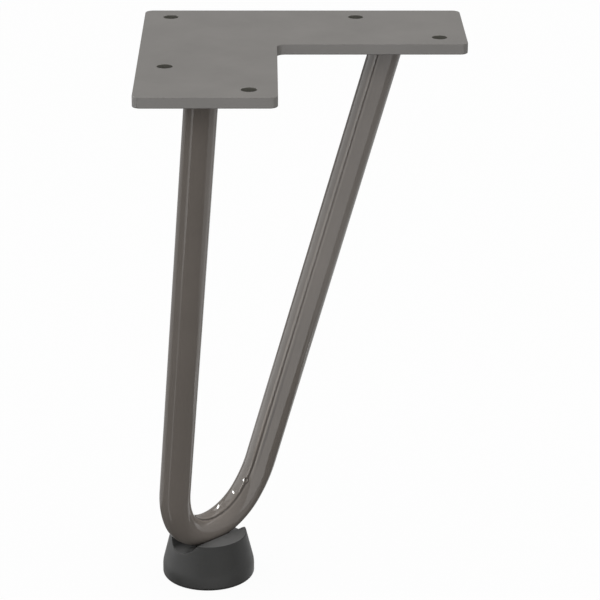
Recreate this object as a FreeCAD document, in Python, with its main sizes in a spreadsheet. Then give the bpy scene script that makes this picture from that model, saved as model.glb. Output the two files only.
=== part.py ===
import FreeCAD, Part
import Sketcher
import math
import os
from FreeCAD import Placement, Rotation, Vector

# Hairpin table leg: an L-shaped screw plate, a round bar bent into a U and welded under it,
# and a saddle foot screwed to the bend. Millimetres, +Z up.
# The origin is on the plate's top face, where the centre lines of its two arms cross.
# One arm runs towards -Y and the other towards +X, so the outer corner is at -X, +Y.

os.makedirs("parts", exist_ok=True)
doc = FreeCAD.newDocument("hairpin_leg")

# Driving dimensions
sheet = doc.addObject("Spreadsheet::Sheet", "dims")
DIMENSIONS = [
    ("overall_height", 227, "plate's top face to the floor"),
    ("plate_side", 120, "outer length of each arm of the plate"),
    ("arm_width", 50, "width of each arm"),
    ("plate_thickness", 4, "thickness of the plate"),
    ("plate_corner_radius", 3, "rounding of the plate's six corners in plan"),
    ("plate_edge_break", 0.5, "broken edge round the plate's two faces"),
    ("screw_hole_diameter", 5.5, "the five screw holes"),
    ("screw_hole_inset", 10, "hole centre to the nearest long edge of the plate"),
    ("screw_hole_end_inset", 10, "inner hole centre to the end of its arm"),
    ("outer_hole_pitch", 70, "corner hole to the outer hole of each arm"),
    ("rod_diameter", 12, "diameter of the bent bar"),
    ("rod_spacing", 97.3, "between the rod centres at the plate's underside"),
    ("rods_from_corner", 81.8, "outer corner to the line of the rod ends, along the diagonal"),
    ("bend_radius", 21.3, "centreline radius of the bend"),
    ("bend_half_sweep", 60, "degrees that the bend turns on each side of its lowest point"),
    ("shoulder_radius", 42, "gentler radius that leads from the bend into each straight"),
    ("weld_leg", 3.5, "height and width of the weld bead round each rod end"),
    ("weld_toe", 0.5, "thickness of the bead where it runs out on the rod"),
    ("foot_from_corner", 32, "outer corner to the foot's axis, along the diagonal"),
    ("foot_base_diameter", 36.7, "widest diameter of the foot"),
    ("foot_top_diameter", 30.5, "diameter of the foot's flat top"),
    ("foot_height", 18, "floor to the foot's flat top"),
    ("foot_band_height", 5.5, "floor to where the foot's upright side starts to lean in"),
    ("foot_blend_radius", 12, "blend between the foot's upright side and its cone"),
    ("foot_floor_break", 0.9, "broken edge round the foot's floor side"),
    ("seat_height", 13.8, "floor to the bottom of the rod's seat in the foot"),
    ("channel_radius", 8, "radius of the channel across the foot's top"),
    ("screw_shank_diameter", 5, "shank of the foot screw"),
    ("screw_shank_length", 15, "foot screw under its head"),
    ("screw_head_diameter", 9.5, "head of the foot screw"),
    ("screw_head_height", 2.8, "height of that head"),
    ("screw_edge_break", 0.5, "broken edge of the screw's head and of its tip"),
    ("screw_socket_width", 3, "across flats of the hexagon socket"),
    ("screw_socket_depth", 1.8, "depth of the hexagon socket"),
    ("screw_clearance", 0.25, "radial clearance of the shank in the foot"),
    ("thread_clearance", 0.05, "radial clearance of the shank in the tapped hole"),
    ("thread_spare_depth", 1, "tapped hole beyond the end of the screw"),
    ("counterbore_clearance", 1, "radial clearance round the screw head"),
    ("counterbore_depth", 7, "depth of the counterbore in the foot's underside"),
]
for row, (alias, size, meaning) in enumerate(DIMENSIONS, start=1):
    sheet.set(f"A{row}", alias)
    sheet.set(f"B{row}", str(size))
    sheet.set(f"C{row}", meaning)
    sheet.setAlias(f"B{row}", alias)
doc.recompute()

# Lengths and angles worked out from the driving dimensions
ROD_RADIUS = "(dims.rod_diameter / 2)"
HALF_SPACING = "(dims.rod_spacing / 2)"
SPLAY = "(dims.rods_from_corner - dims.foot_from_corner)"
DROP = f"(dims.overall_height - dims.plate_thickness - dims.seat_height - {ROD_RADIUS})"
HAIRPIN_LENGTH = f"sqrt({DROP}^2 + {SPLAY}^2)"
SPLAY_ANGLE = f"atan({SPLAY} / {DROP})"
HALF_SWEEP = "(dims.bend_half_sweep * 1 deg)"
RADIUS_STEP = "(dims.shoulder_radius - dims.bend_radius)"
BEND_CENTRE_DEPTH = f"({HAIRPIN_LENGTH} - dims.bend_radius)"
SHOULDER_CENTRE_X = f"(-{RADIUS_STEP} * sin({HALF_SWEEP}))"
SHOULDER_CENTRE_DEPTH = f"({BEND_CENTRE_DEPTH} - {RADIUS_STEP} * cos({HALF_SWEEP}))"
TOP_TO_CENTRE_X = f"({HALF_SPACING} - {SHOULDER_CENTRE_X})"
LEG_ANGLE = (
    f"(acos(dims.shoulder_radius / sqrt({TOP_TO_CENTRE_X}^2 + {SHOULDER_CENTRE_DEPTH}^2))"
    f" - atan({SHOULDER_CENTRE_DEPTH} / {TOP_TO_CENTRE_X}))"
)
WELD_TILT = f"acos(cos({LEG_ANGLE}) * cos({SPLAY_ANGLE}))"
WELD_AZIMUTH = f"atan(tan({LEG_ANGLE}) / sin({SPLAY_ANGLE}))"
COUNTERBORE_RADIUS = "(dims.screw_head_diameter / 2 + dims.counterbore_clearance)"
SCREW_REACH = "(dims.counterbore_depth + dims.screw_shank_length)"


def value_of(expression):
    """Present value of an expression in the sheet's names, in mm or degrees."""
    return float(sheet.evalExpression(expression))


def origin_plane(body, role):
    """One of the body's own origin planes, such as XY_Plane."""
    return next(feature for feature in body.Origin.OriginFeatures if feature.Role == role)


def add_body(label, x, y, z, turn):
    """A body whose place is driven by expressions; turn is its angle about +Z."""
    body = doc.addObject("PartDesign::Body", label)
    body.Label = label
    body.Placement = Placement(Vector(), Rotation(Vector(0, 0, 1), value_of(turn)))
    body.setExpression("Placement.Base.x", x)
    body.setExpression("Placement.Base.y", y)
    body.setExpression("Placement.Base.z", z)
    body.setExpression("Placement.Rotation.Angle", turn)
    return body


def add_sketch(body, name, role, height="0"):
    """A sketch on one of the body's origin planes, moved along the plane's normal by height."""
    sketch = body.newObject("Sketcher::SketchObject", name)
    sketch.AttachmentSupport = [(origin_plane(body, role), "")]
    sketch.MapMode = "FlatFace"
    sketch.setExpression("AttachmentOffset.Base.z", height)
    return sketch


def dimension(sketch, kind, *where, size):
    """A driving constraint bound to an expression."""
    index = sketch.addConstraint(Sketcher.Constraint(kind, *where, value_of(size)))
    sketch.setExpression(f"Constraints[{index}]", size)


def join_ends(sketch, lines):
    """Close a loop of edges, the end of each on the start of the next."""
    for here, following in zip(lines, lines[1:] + lines[:1]):
        sketch.addConstraint(Sketcher.Constraint("Coincident", here, 2, following, 1))


def add_circle(sketch, x, y, diameter):
    """A circle with its centre and diameter driven from the sketch's origin."""
    centre = Vector(value_of(x), value_of(y), 0)
    circle = sketch.addGeometry(Part.Circle(centre, Vector(0, 0, 1), value_of(diameter) / 2))
    sketch.addConstraint(Sketcher.Constraint("Diameter", circle, value_of(diameter)))
    sketch.setExpression(f"Constraints[{sketch.ConstraintCount - 1}]", diameter)
    dimension(sketch, "DistanceX", -1, 1, circle, 3, size=x)
    dimension(sketch, "DistanceY", -1, 1, circle, 3, size=y)
    return circle


def add_ellipse(sketch, long_half, short_half):
    """An ellipse centred on the sketch's origin, its long axis along the sketch's X."""
    long_value = value_of(long_half)
    short_value = value_of(short_half)
    ellipse = sketch.addGeometry(Part.Ellipse(Vector(long_value, 0, 0), Vector(0, short_value, 0), Vector()))
    sketch.exposeInternalGeometry(ellipse)
    long_axis = ellipse + 1
    short_axis = ellipse + 2
    sketch.addConstraint(Sketcher.Constraint("Coincident", ellipse, 3, -1, 1))
    sketch.addConstraint(Sketcher.Constraint("Horizontal", long_axis))
    dimension(sketch, "Distance", long_axis, size=f"2 * {long_half}")
    dimension(sketch, "Distance", short_axis, size=f"2 * {short_half}")
    return ellipse


def cut(body, name, sketch, length=None, both_ways=False, upward=False, lean=None):
    """A pocket that must take material away. It goes down from the sketch, or up, or both ways;
    lean tilts a downward one towards the body's X."""
    doc.recompute()
    before = body.Shape.Volume
    pocket = body.newObject("PartDesign::Pocket", name)
    pocket.Profile = sketch
    pocket.Reversed = upward
    if lean is not None:
        pocket.UseCustomVector = True
        pocket.Direction = Vector(0, 0, -1)
        pocket.setExpression("Direction.x", f"sin({lean})")
        pocket.setExpression("Direction.z", f"-cos({lean})")
    if both_ways:
        pocket.SideType = "Symmetric"
    if length is None:
        pocket.Type = "ThroughAll"
    else:
        pocket.setExpression("Length", length)
    doc.recompute()
    if body.Shape.Volume > before - 1e-3:
        raise RuntimeError(f"{name} cuts nothing")
    return pocket


def edges_of(feature, wanted):
    """Names of the feature's edges that the test picks out."""
    names = []
    for number, edge in enumerate(feature.Shape.Edges, start=1):
        if wanted(edge):
            names.append(f"Edge{number}")
    return names


def soften(body, name, feature, edges, radius):
    """Round the named edges of a feature."""
    fillet = body.newObject("PartDesign::Fillet", name)
    fillet.Base = (feature, edges)
    fillet.setExpression("Radius", radius)
    doc.recompute()
    return fillet


def break_edges(body, name, feature, edges, size):
    """Chamfer the named edges of a feature."""
    chamfer = body.newObject("PartDesign::Chamfer", name)
    chamfer.Base = (feature, edges)
    chamfer.setExpression("Size", size)
    doc.recompute()
    return chamfer


def is_upright(edge):
    """True for a straight edge along Z."""
    low, high = edge.BoundBox.ZMin, edge.BoundBox.ZMax
    return edge.BoundBox.XLength < 1e-6 and edge.BoundBox.YLength < 1e-6 and high - low > 1e-6


def is_level(edge):
    """True for an edge that keeps one height."""
    return edge.BoundBox.ZLength < 1e-6


# Mounting plate: the L outline padded down from the top face, its corners and rims softened,
# and five screw holes that mirror each other about the diagonal

plate = add_body("mounting_plate", "0", "0", "0", "0 deg")
outline = add_sketch(plate, "plate_outline", "XY_Plane")
half_arm = value_of("dims.arm_width / 2")
far_side = value_of("dims.plate_side - dims.arm_width / 2")
corners = [
    Vector(-half_arm, -far_side, 0),
    Vector(half_arm, -far_side, 0),
    Vector(half_arm, -half_arm, 0),
    Vector(far_side, -half_arm, 0),
    Vector(far_side, half_arm, 0),
    Vector(-half_arm, half_arm, 0),
]
sides = []
for start, end in zip(corners, corners[1:] + corners[:1]):
    sides.append(outline.addGeometry(Part.LineSegment(start, end)))
join_ends(outline, sides)
for side in sides[0::2]:
    outline.addConstraint(Sketcher.Constraint("Horizontal", side))
for side in sides[1::2]:
    outline.addConstraint(Sketcher.Constraint("Vertical", side))
dimension(outline, "DistanceX", sides[0], 1, -1, 1, size="dims.arm_width / 2")
dimension(outline, "DistanceX", sides[0], 1, sides[0], 2, size="dims.arm_width")
dimension(outline, "DistanceY", -1, 1, sides[3], 2, size="dims.arm_width / 2")
dimension(outline, "DistanceY", sides[3], 1, sides[3], 2, size="dims.arm_width")
dimension(outline, "DistanceY", sides[0], 1, sides[4], 2, size="dims.plate_side")
dimension(outline, "DistanceX", sides[4], 2, sides[4], 1, size="dims.plate_side")

plate_pad = plate.newObject("PartDesign::Pad", "plate_pad")
plate_pad.Profile = outline
plate_pad.Reversed = True
plate_pad.setExpression("Length", "dims.plate_thickness")
doc.recompute()
plate_corners = soften(plate, "plate_corners", plate_pad, edges_of(plate_pad, is_upright), "dims.plate_corner_radius")
break_edges(plate, "plate_rims", plate_corners, edges_of(plate_corners, is_level), "dims.plate_edge_break")

near_edge = "(dims.screw_hole_inset - dims.arm_width / 2)"
outer_hole = f"({near_edge} + dims.outer_hole_pitch)"
inner_hole = "(dims.plate_side - dims.arm_width / 2 - dims.screw_hole_end_inset)"
screw_holes = add_sketch(plate, "screw_holes", "XY_Plane")
for x, y in (
    (near_edge, f"-{near_edge}"),
    (near_edge, f"-{outer_hole}"),
    (f"-{near_edge}", f"-{inner_hole}"),
    (outer_hole, f"-{near_edge}"),
    (inner_hole, near_edge),
):
    add_circle(screw_holes, x, y, "dims.screw_hole_diameter")
cut(plate, "screw_hole_cut", screw_holes)

# Hairpin rod: half of the U is swept along the bend, its shoulder and the straight, all in the leaning
# plane, then mirrored. Its own origin lies midway between the two rod ends, on the plate's underside,
# with X from end to end.

DIAGONAL = "sqrt(2)"
hairpin_x = f"(dims.rods_from_corner / {DIAGONAL} - dims.arm_width / 2)"
rod = add_body("hairpin_rod", hairpin_x, f"-{hairpin_x}", "-dims.plate_thickness", "45 deg")

spine = add_sketch(rod, "half_spine", "XZ_Plane")
spine.AttachmentOffset = Placement(Vector(), Rotation(Vector(1, 0, 0), value_of(SPLAY_ANGLE)))
spine.setExpression("AttachmentOffset.Rotation.Angle", SPLAY_ANGLE)


def add_arc(sketch, centre, radius, start, end):
    """An arc from one angle to another, in degrees from the sketch's X."""
    circle = Part.Circle(centre, Vector(0, 0, 1), radius)
    return sketch.addGeometry(Part.ArcOfCircle(circle, math.radians(start), math.radians(end)))


leg_angle = value_of(LEG_ANGLE)
half_sweep = value_of(HALF_SWEEP)
shoulder_radius = value_of("dims.shoulder_radius")
bend_centre = Vector(0, -value_of(BEND_CENTRE_DEPTH), 0)
shoulder_centre = Vector(value_of(SHOULDER_CENTRE_X), -value_of(SHOULDER_CENTRE_DEPTH), 0)
leg_tilt = Rotation(Vector(0, 0, 1), -leg_angle)
straight_start = shoulder_centre + leg_tilt.multVec(Vector(shoulder_radius, 0, 0))
leg_direction = leg_tilt.multVec(Vector(0, 1, 0))
overrun = value_of("dims.rod_diameter")
straight_end = straight_start + leg_direction * ((overrun - straight_start.y) / leg_direction.y)

bend = add_arc(spine, bend_centre, value_of("dims.bend_radius"), -90, half_sweep - 90)
shoulder = add_arc(spine, shoulder_centre, shoulder_radius, half_sweep - 90, -leg_angle)
straight = spine.addGeometry(Part.LineSegment(straight_start, straight_end))
rod_end = spine.addGeometry(Part.Point(Vector(value_of(HALF_SPACING), 0, 0)), True)
spine.addConstraint(Sketcher.Constraint("PointOnObject", bend, 3, -2))
spine.addConstraint(Sketcher.Constraint("PointOnObject", bend, 1, -2))
spine.addConstraint(Sketcher.Constraint("Tangent", bend, 2, shoulder, 1))
spine.addConstraint(Sketcher.Constraint("Tangent", shoulder, 2, straight, 1))
spine.addConstraint(Sketcher.Constraint("PointOnObject", rod_end, 1, -1))
spine.addConstraint(Sketcher.Constraint("PointOnObject", rod_end, 1, straight))
dimension(spine, "Radius", bend, size="dims.bend_radius")
dimension(spine, "Radius", shoulder, size="dims.shoulder_radius")
dimension(spine, "DistanceY", bend, 1, -1, 1, size=HAIRPIN_LENGTH)
dimension(spine, "DistanceX", bend, 3, bend, 2, size=f"dims.bend_radius * sin({HALF_SWEEP})")
dimension(spine, "DistanceX", -1, 1, rod_end, 1, size=HALF_SPACING)
dimension(spine, "DistanceY", -1, 1, straight, 2, size="dims.rod_diameter")

section = add_sketch(rod, "rod_section", "YZ_Plane")
add_circle(section, SPLAY, f"-{DROP}", "dims.rod_diameter")
rod_half = rod.newObject("PartDesign::AdditivePipe", "rod_half")
rod_half.Profile = section
rod_half.Spine = (spine, [])
doc.recompute()
rod_mirror = rod.newObject("PartDesign::Mirrored", "rod_mirror")
rod_mirror.Originals = [rod_half]
rod_mirror.MirrorPlane = (origin_plane(rod, "YZ_Plane"), [""])
rod.Tip = rod_mirror

plate_side_trim = add_sketch(rod, "rod_ends_trim", "XY_Plane")
add_circle(plate_side_trim, "0", "0", "dims.rod_spacing + 4 * dims.rod_diameter")
cut(rod, "rod_ends_cut", plate_side_trim, upward=True)

tapped_hole = add_sketch(rod, "tapped_hole", "XY_Plane", f"-{DROP} - {ROD_RADIUS}")
add_circle(tapped_hole, "0", SPLAY, "dims.screw_shank_diameter + 2 * dims.thread_clearance")
cut(rod, "tapped_hole_cut", tapped_hole, f"{SCREW_REACH} - dims.seat_height + dims.thread_spare_depth", upward=True)

# Weld beads: a fillet weld lofted from the plate's underside down to where it runs out on the rod, with
# the slanted rod taken out of it. Its own X points the way the rod leans, going down.


def weld_bead(label, side, turn):
    """The bead round one rod end; side is -1 or 1 along the hairpin's own X."""
    x = f"({hairpin_x} + {side} * {HALF_SPACING} / {DIAGONAL})"
    y = f"({side} * {HALF_SPACING} / {DIAGONAL} - {hairpin_x})"
    bead = add_body(label, x, y, "-dims.plate_thickness", turn)
    long_half = f"({ROD_RADIUS} / cos({WELD_TILT}))"
    on_plate = add_sketch(bead, f"{label}_on_plate", "XY_Plane")
    add_ellipse(on_plate, f"({long_half} + dims.weld_leg)", f"({ROD_RADIUS} + dims.weld_leg)")
    on_rod = add_sketch(bead, f"{label}_on_rod", "XY_Plane", "-dims.weld_leg")
    on_rod.setExpression("AttachmentOffset.Base.x", f"dims.weld_leg * tan({WELD_TILT})")
    add_ellipse(on_rod, f"({long_half} + dims.weld_toe)", f"({ROD_RADIUS} + dims.weld_toe)")
    loft = bead.newObject("PartDesign::AdditiveLoft", f"{label}_loft")
    loft.Profile = on_plate
    loft.Sections = [on_rod]
    rod_outline = add_sketch(bead, f"{label}_rod_outline", "XY_Plane")
    add_ellipse(rod_outline, long_half, ROD_RADIUS)
    cut(bead, f"{label}_rod_cut", rod_outline, lean=WELD_TILT)


weld_bead("weld_bead_left", -1, f"135 deg - {WELD_AZIMUTH}")
weld_bead("weld_bead_right", 1, f"135 deg + {WELD_AZIMUTH}")

# Foot: a turned profile with an upright band, a blend and a cone, the channel that the bend sits in,
# and a counterbored hole for its screw. Its origin is on the floor, with X along the channel.

foot_x = f"(dims.foot_from_corner / {DIAGONAL} - dims.arm_width / 2)"
foot = add_body("foot", foot_x, f"-{foot_x}", "-dims.overall_height", "45 deg")
profile = add_sketch(foot, "foot_profile", "XZ_Plane")
base_radius = value_of("dims.foot_base_diameter / 2")
top_radius = value_of("dims.foot_top_diameter / 2")
height = value_of("dims.foot_height")
band_height = value_of("dims.foot_band_height")
profile_points = [
    Vector(0, 0, 0),
    Vector(base_radius, 0, 0),
    Vector(base_radius, band_height, 0),
    Vector(top_radius, height, 0),
    Vector(0, height, 0),
]
profile_lines = []
for start, end in zip(profile_points, profile_points[1:] + profile_points[:1]):
    profile_lines.append(profile.addGeometry(Part.LineSegment(start, end)))
join_ends(profile, profile_lines)
floor_line, band_line, cone_line, top_line, axis_line = profile_lines
profile.addConstraint(Sketcher.Constraint("Coincident", floor_line, 1, -1, 1))
profile.addConstraint(Sketcher.Constraint("Horizontal", floor_line))
profile.addConstraint(Sketcher.Constraint("Vertical", band_line))
profile.addConstraint(Sketcher.Constraint("Horizontal", top_line))
profile.addConstraint(Sketcher.Constraint("Vertical", axis_line))
dimension(profile, "DistanceX", floor_line, 1, floor_line, 2, size="dims.foot_base_diameter / 2")
dimension(profile, "DistanceY", band_line, 1, band_line, 2, size="dims.foot_band_height")
dimension(profile, "DistanceX", top_line, 2, top_line, 1, size="dims.foot_top_diameter / 2")
dimension(profile, "DistanceY", axis_line, 2, axis_line, 1, size="dims.foot_height")
foot_turned = foot.newObject("PartDesign::Revolution", "foot_turned")
foot_turned.Profile = profile
foot_turned.ReferenceAxis = (profile, ["V_Axis"])
doc.recompute()


def rim_at(feature, height, radius):
    """The circular edges of a feature at one height and radius."""
    def wanted(edge):
        round_edge = isinstance(edge.Curve, Part.Circle) and abs(edge.Curve.Radius - radius) < 1e-4
        return round_edge and is_level(edge) and abs(edge.BoundBox.ZMin - height) < 1e-4
    return edges_of(feature, wanted)


foot_blend = soften(
    foot, "foot_blend", foot_turned, rim_at(foot_turned, band_height, base_radius), "dims.foot_blend_radius"
)
break_edges(foot, "foot_floor_edge", foot_blend, rim_at(foot_blend, 0, base_radius), "dims.foot_floor_break")
channel = add_sketch(foot, "channel", "YZ_Plane")
add_circle(channel, "0", "dims.seat_height + dims.channel_radius", "2 * dims.channel_radius")
cut(foot, "channel_cut", channel, both_ways=True)
screw_hole = add_sketch(foot, "foot_screw_hole", "XY_Plane")
add_circle(screw_hole, "0", "0", "dims.screw_shank_diameter + 2 * dims.screw_clearance")
cut(foot, "foot_screw_hole_cut", screw_hole, upward=True)
counterbore = add_sketch(foot, "counterbore", "XY_Plane")
add_circle(counterbore, "0", "0", f"2 * {COUNTERBORE_RADIUS}")
cut(foot, "counterbore_cut", counterbore, "dims.counterbore_depth", upward=True)

# Foot screw: a pan head with a hexagon socket, its head against the counterbore's floor.
# Its own origin is where the head meets the shank, with Z up the shank.

screw = add_body("foot_screw", foot_x, f"-{foot_x}", "dims.counterbore_depth - dims.overall_height", "0 deg")
shank_sketch = add_sketch(screw, "shank", "XY_Plane")
add_circle(shank_sketch, "0", "0", "dims.screw_shank_diameter")
shank = screw.newObject("PartDesign::Pad", "shank_pad")
shank.Profile = shank_sketch
shank.setExpression("Length", "dims.screw_shank_length")
head_sketch = add_sketch(screw, "head", "XY_Plane")
add_circle(head_sketch, "0", "0", "dims.screw_head_diameter")
head = screw.newObject("PartDesign::Pad", "head_pad")
head.Profile = head_sketch
head.Reversed = True
head.setExpression("Length", "dims.screw_head_height")
doc.recompute()
head_radius = value_of("dims.screw_head_diameter / 2")
shank_radius = value_of("dims.screw_shank_diameter / 2")
head_face = -value_of("dims.screw_head_height")
tip_height = value_of("dims.screw_shank_length")
screw_rims = rim_at(head, head_face, head_radius) + rim_at(head, tip_height, shank_radius)
break_edges(screw, "screw_edges", head, screw_rims, "dims.screw_edge_break")
socket = add_sketch(screw, "socket", "XY_Plane", "-dims.screw_head_height")
socket_corner = value_of("dims.screw_socket_width / sqrt(3)")
socket_points = []
for turn in range(0, 360, 60):
    socket_points.append(Rotation(Vector(0, 0, 1), turn).multVec(Vector(socket_corner, 0, 0)))
socket_lines = []
for start, end in zip(socket_points, socket_points[1:] + socket_points[:1]):
    socket_lines.append(socket.addGeometry(Part.LineSegment(start, end)))
join_ends(socket, socket_lines)
socket_circle = add_circle(socket, "0", "0", "2 * dims.screw_socket_width / sqrt(3)")
socket.toggleConstruction(socket_circle)
for line in socket_lines:
    socket.addConstraint(Sketcher.Constraint("PointOnObject", line, 1, socket_circle))
for line in socket_lines[1:]:
    socket.addConstraint(Sketcher.Constraint("Equal", socket_lines[0], line))
socket.addConstraint(Sketcher.Constraint("PointOnObject", socket_lines[0], 1, -1))
cut(screw, "socket_cut", socket, "dims.screw_socket_depth", upward=True)

# Check every object and write one solid per file

doc.recompute()
for item in doc.Objects:
    if "Invalid" in item.State or "Error" in item.State:
        raise RuntimeError(f"{item.Name} is {item.State}")
bodies = [item for item in doc.Objects if item.TypeId == "PartDesign::Body"]
for body in bodies:
    shape = body.Shape
    if shape.isNull() or not shape.isValid() or len(shape.Solids) != 1:
        raise RuntimeError(f"{body.Label} is not one valid solid")
for body in bodies:
    shape = body.Shape
    shape.exportStep(f"parts/{body.Label}.step")
    box = shape.BoundBox
    print(
        f"{body.Label:16s} {shape.Volume:10.1f} mm3"
        f"  x {box.XMin:8.2f} {box.XMax:8.2f}  y {box.YMin:8.2f} {box.YMax:8.2f}  z {box.ZMin:8.2f} {box.ZMax:8.2f}"
    )
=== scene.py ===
# %% [markdown]
# # Dressing a hairpin table leg
# The leg is a round steel bar bent into a U and welded under an L-shaped screw plate. A plastic foot
# sits on the bend and is held by one screw from below. The CAD model is loaded as a fixed frame, and
# each of its solids is then replaced by a finer piece in the same place. All lengths are named in
# millimetres and multiplied by MM where Blender takes metres.

# %% The frame
import math

import bmesh
import bpy
from mathutils import Matrix, Vector


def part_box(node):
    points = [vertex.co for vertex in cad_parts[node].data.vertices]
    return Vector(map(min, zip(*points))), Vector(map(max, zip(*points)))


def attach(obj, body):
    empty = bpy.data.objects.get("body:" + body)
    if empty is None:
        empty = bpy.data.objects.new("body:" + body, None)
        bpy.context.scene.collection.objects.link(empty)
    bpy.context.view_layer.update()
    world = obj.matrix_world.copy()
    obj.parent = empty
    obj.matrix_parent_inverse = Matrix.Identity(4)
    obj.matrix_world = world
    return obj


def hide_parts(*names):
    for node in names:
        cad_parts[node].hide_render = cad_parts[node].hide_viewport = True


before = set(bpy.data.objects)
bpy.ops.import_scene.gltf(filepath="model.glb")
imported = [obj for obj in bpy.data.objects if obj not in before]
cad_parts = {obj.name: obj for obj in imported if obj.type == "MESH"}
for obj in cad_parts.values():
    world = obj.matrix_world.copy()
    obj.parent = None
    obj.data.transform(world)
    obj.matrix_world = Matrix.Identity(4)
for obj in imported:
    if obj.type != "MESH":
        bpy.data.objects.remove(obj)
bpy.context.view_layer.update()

MM = 0.001
scene = bpy.context.scene


def in_mm(corners, digits=2):
    """The corners of a box in millimetres, for printing."""
    return [[round(value / MM, digits) for value in corner] for corner in corners]


# %% [markdown]
# ## Sizes taken from the frame
# A piece fits because its size is read from the solid that it stands for. A CAD node keeps its place
# in its vertices, so its box is all that is needed for the plate, the foot and the screw. Only the
# sizes that a box can't tell, such as the bar's thickness and the two radii of the bend, are written
# down here, and they are the ones that the CAD source is driven by.

# %% Places and sizes
plate_low, plate_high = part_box("mounting_plate")
foot_low, foot_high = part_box("foot")
screw_low, screw_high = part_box("foot_screw")

BAR_RADIUS = 6 * MM
BAR_SPACING = 97.3 * MM
BAR_FROM_CORNER = 81.8 * MM
BEND_RADIUS = 21.3 * MM
BEND_HALF_SWEEP = math.radians(60)
SHOULDER_RADIUS = 42 * MM
SEAT_HEIGHT = 13.8 * MM

underside = plate_low.z
floor_height = foot_low.z
foot_axis = (foot_low + foot_high) / 2
outer_corner = Vector((plate_low.x, plate_high.y, 0))
inward = Vector((1, -1, 0)).normalized()
across = Vector((1, 1, 0)).normalized()
print("plate thickness", round(-underside / MM, 2), "mm, height", round(-floor_height / MM, 2), "mm")

# %% [markdown]
# ## The centre line of the bar
# The bar lies in one leaning plane. Its ends meet the plate's underside, its lowest point rests in the
# foot, and both points are known, so the plane is known too. In that plane each straight runs into a
# shoulder of a large radius and then into the tight bend, as a bar does when it is pulled round a
# former. The arcs share a tangent where they meet, so their centres and the lean of the straights
# follow from the radii alone.

# %% Geometry of the hairpin
QUARTER = math.pi / 2

hairpin_top = outer_corner + inward * BAR_FROM_CORNER + Vector((0, 0, underside))
lowest = Vector((foot_axis.x, foot_axis.y, floor_height + SEAT_HEIGHT + BAR_RADIUS))
reach = (lowest - hairpin_top).length
downward = (lowest - hairpin_top).normalized()
plane_normal = across.cross(downward)
bend_centre = Vector((0, BEND_RADIUS - reach))
toward_shoulder = Vector((-math.sin(BEND_HALF_SWEEP), math.cos(BEND_HALF_SWEEP)))
shoulder_centre = bend_centre + (SHOULDER_RADIUS - BEND_RADIUS) * toward_shoulder
top_offset = BAR_SPACING / 2 - shoulder_centre.x
leg_angle = math.acos(SHOULDER_RADIUS / math.hypot(top_offset, shoulder_centre.y))
leg_angle -= math.atan(-shoulder_centre.y / top_offset)
print("each straight leans", round(math.degrees(leg_angle), 2), "degrees in the plane of the U")


def in_plane(flat):
    """A point of the leaning plane, from its place across and along the U."""
    return hairpin_top + across * flat.x - downward * flat.y


def turned(angle):
    """The unit vector at an angle from a plane's first axis."""
    return Vector((math.cos(angle), math.sin(angle)))


# %% [markdown]
# ## Small tools for meshes
# Most pieces end the same way: a list of points and faces, or the result of a modifier, becomes a plain
# mesh whose object sits at the origin. Doubled points are merged and every face is turned outwards,
# because a joint whose two sides only touch would shade as a crack.

# %% Meshes and objects
TOUCHING = 0.002 * MM


def tidy(mesh):
    """Merge doubled points, drop faces without area and turn the rest outwards."""
    work = bmesh.new()
    work.from_mesh(mesh)
    bmesh.ops.remove_doubles(work, verts=work.verts, dist=TOUCHING)
    bmesh.ops.dissolve_degenerate(work, edges=work.edges, dist=TOUCHING)
    bmesh.ops.recalc_face_normals(work, faces=work.faces)
    work.to_mesh(mesh)
    work.free()


def new_object(name, data):
    """A new object at the origin, linked to the scene."""
    made = bpy.data.objects.new(name, data)
    scene.collection.objects.link(made)
    return made


def mesh_object(name, points=(), faces=()):
    """A new mesh object with its place in its mesh."""
    mesh = bpy.data.meshes.new(name)
    mesh.from_pydata(points, [], faces)
    return new_object(name, mesh)


def grid_faces(rows, columns, closed_rows=True, closed_columns=True):
    """Quads over a grid of points that is numbered row by row."""
    faces = []
    for row in range(rows if closed_rows else rows - 1):
        for column in range(columns if closed_columns else columns - 1):
            next_row = (row + 1) % rows
            next_column = (column + 1) % columns
            faces.append((
                row * columns + column,
                row * columns + next_column,
                next_row * columns + next_column,
                next_row * columns + column,
            ))
    return faces


# %% From a modifier to a fitted piece
def flattened(source, name):
    """The evaluated shape of an object as a plain mesh object; the source goes."""
    bpy.context.view_layer.update()
    graph = bpy.context.evaluated_depsgraph_get()
    mesh = bpy.data.meshes.new_from_object(source.evaluated_get(graph))
    bpy.data.objects.remove(source)
    made = new_object(name, mesh)
    mesh.name = name
    return made


def shade(piece, sharp_angle):
    """Smooth shading, with the edges past an angle in degrees kept sharp."""
    piece.data.shade_smooth()
    piece.data.set_sharp_from_angle(angle=math.radians(sharp_angle))


def fit(piece, node):
    """Ride on the one body and stand for a CAD node, whose own solid is hidden."""
    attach(piece, "root")
    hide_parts(node)
    box = in_mm((piece.bound_box[0], piece.bound_box[6]), 1)
    print(piece.name, len(piece.data.polygons), "faces, box in mm", box)


# %% [markdown]
# ## Small tools for nodes
# Shader groups and Geometry Nodes trees are built by the same helpers. One makes the tree with its
# named sockets, another adds a node and wires or sets its inputs in one call, and a few more name the
# nodes that come back again and again. So each tree below reads from top to bottom like a recipe.

# %% Trees and nodes
FLOAT = "NodeSocketFloat"
COLOUR = "NodeSocketColor"
VECTOR = "NodeSocketVector"


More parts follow.
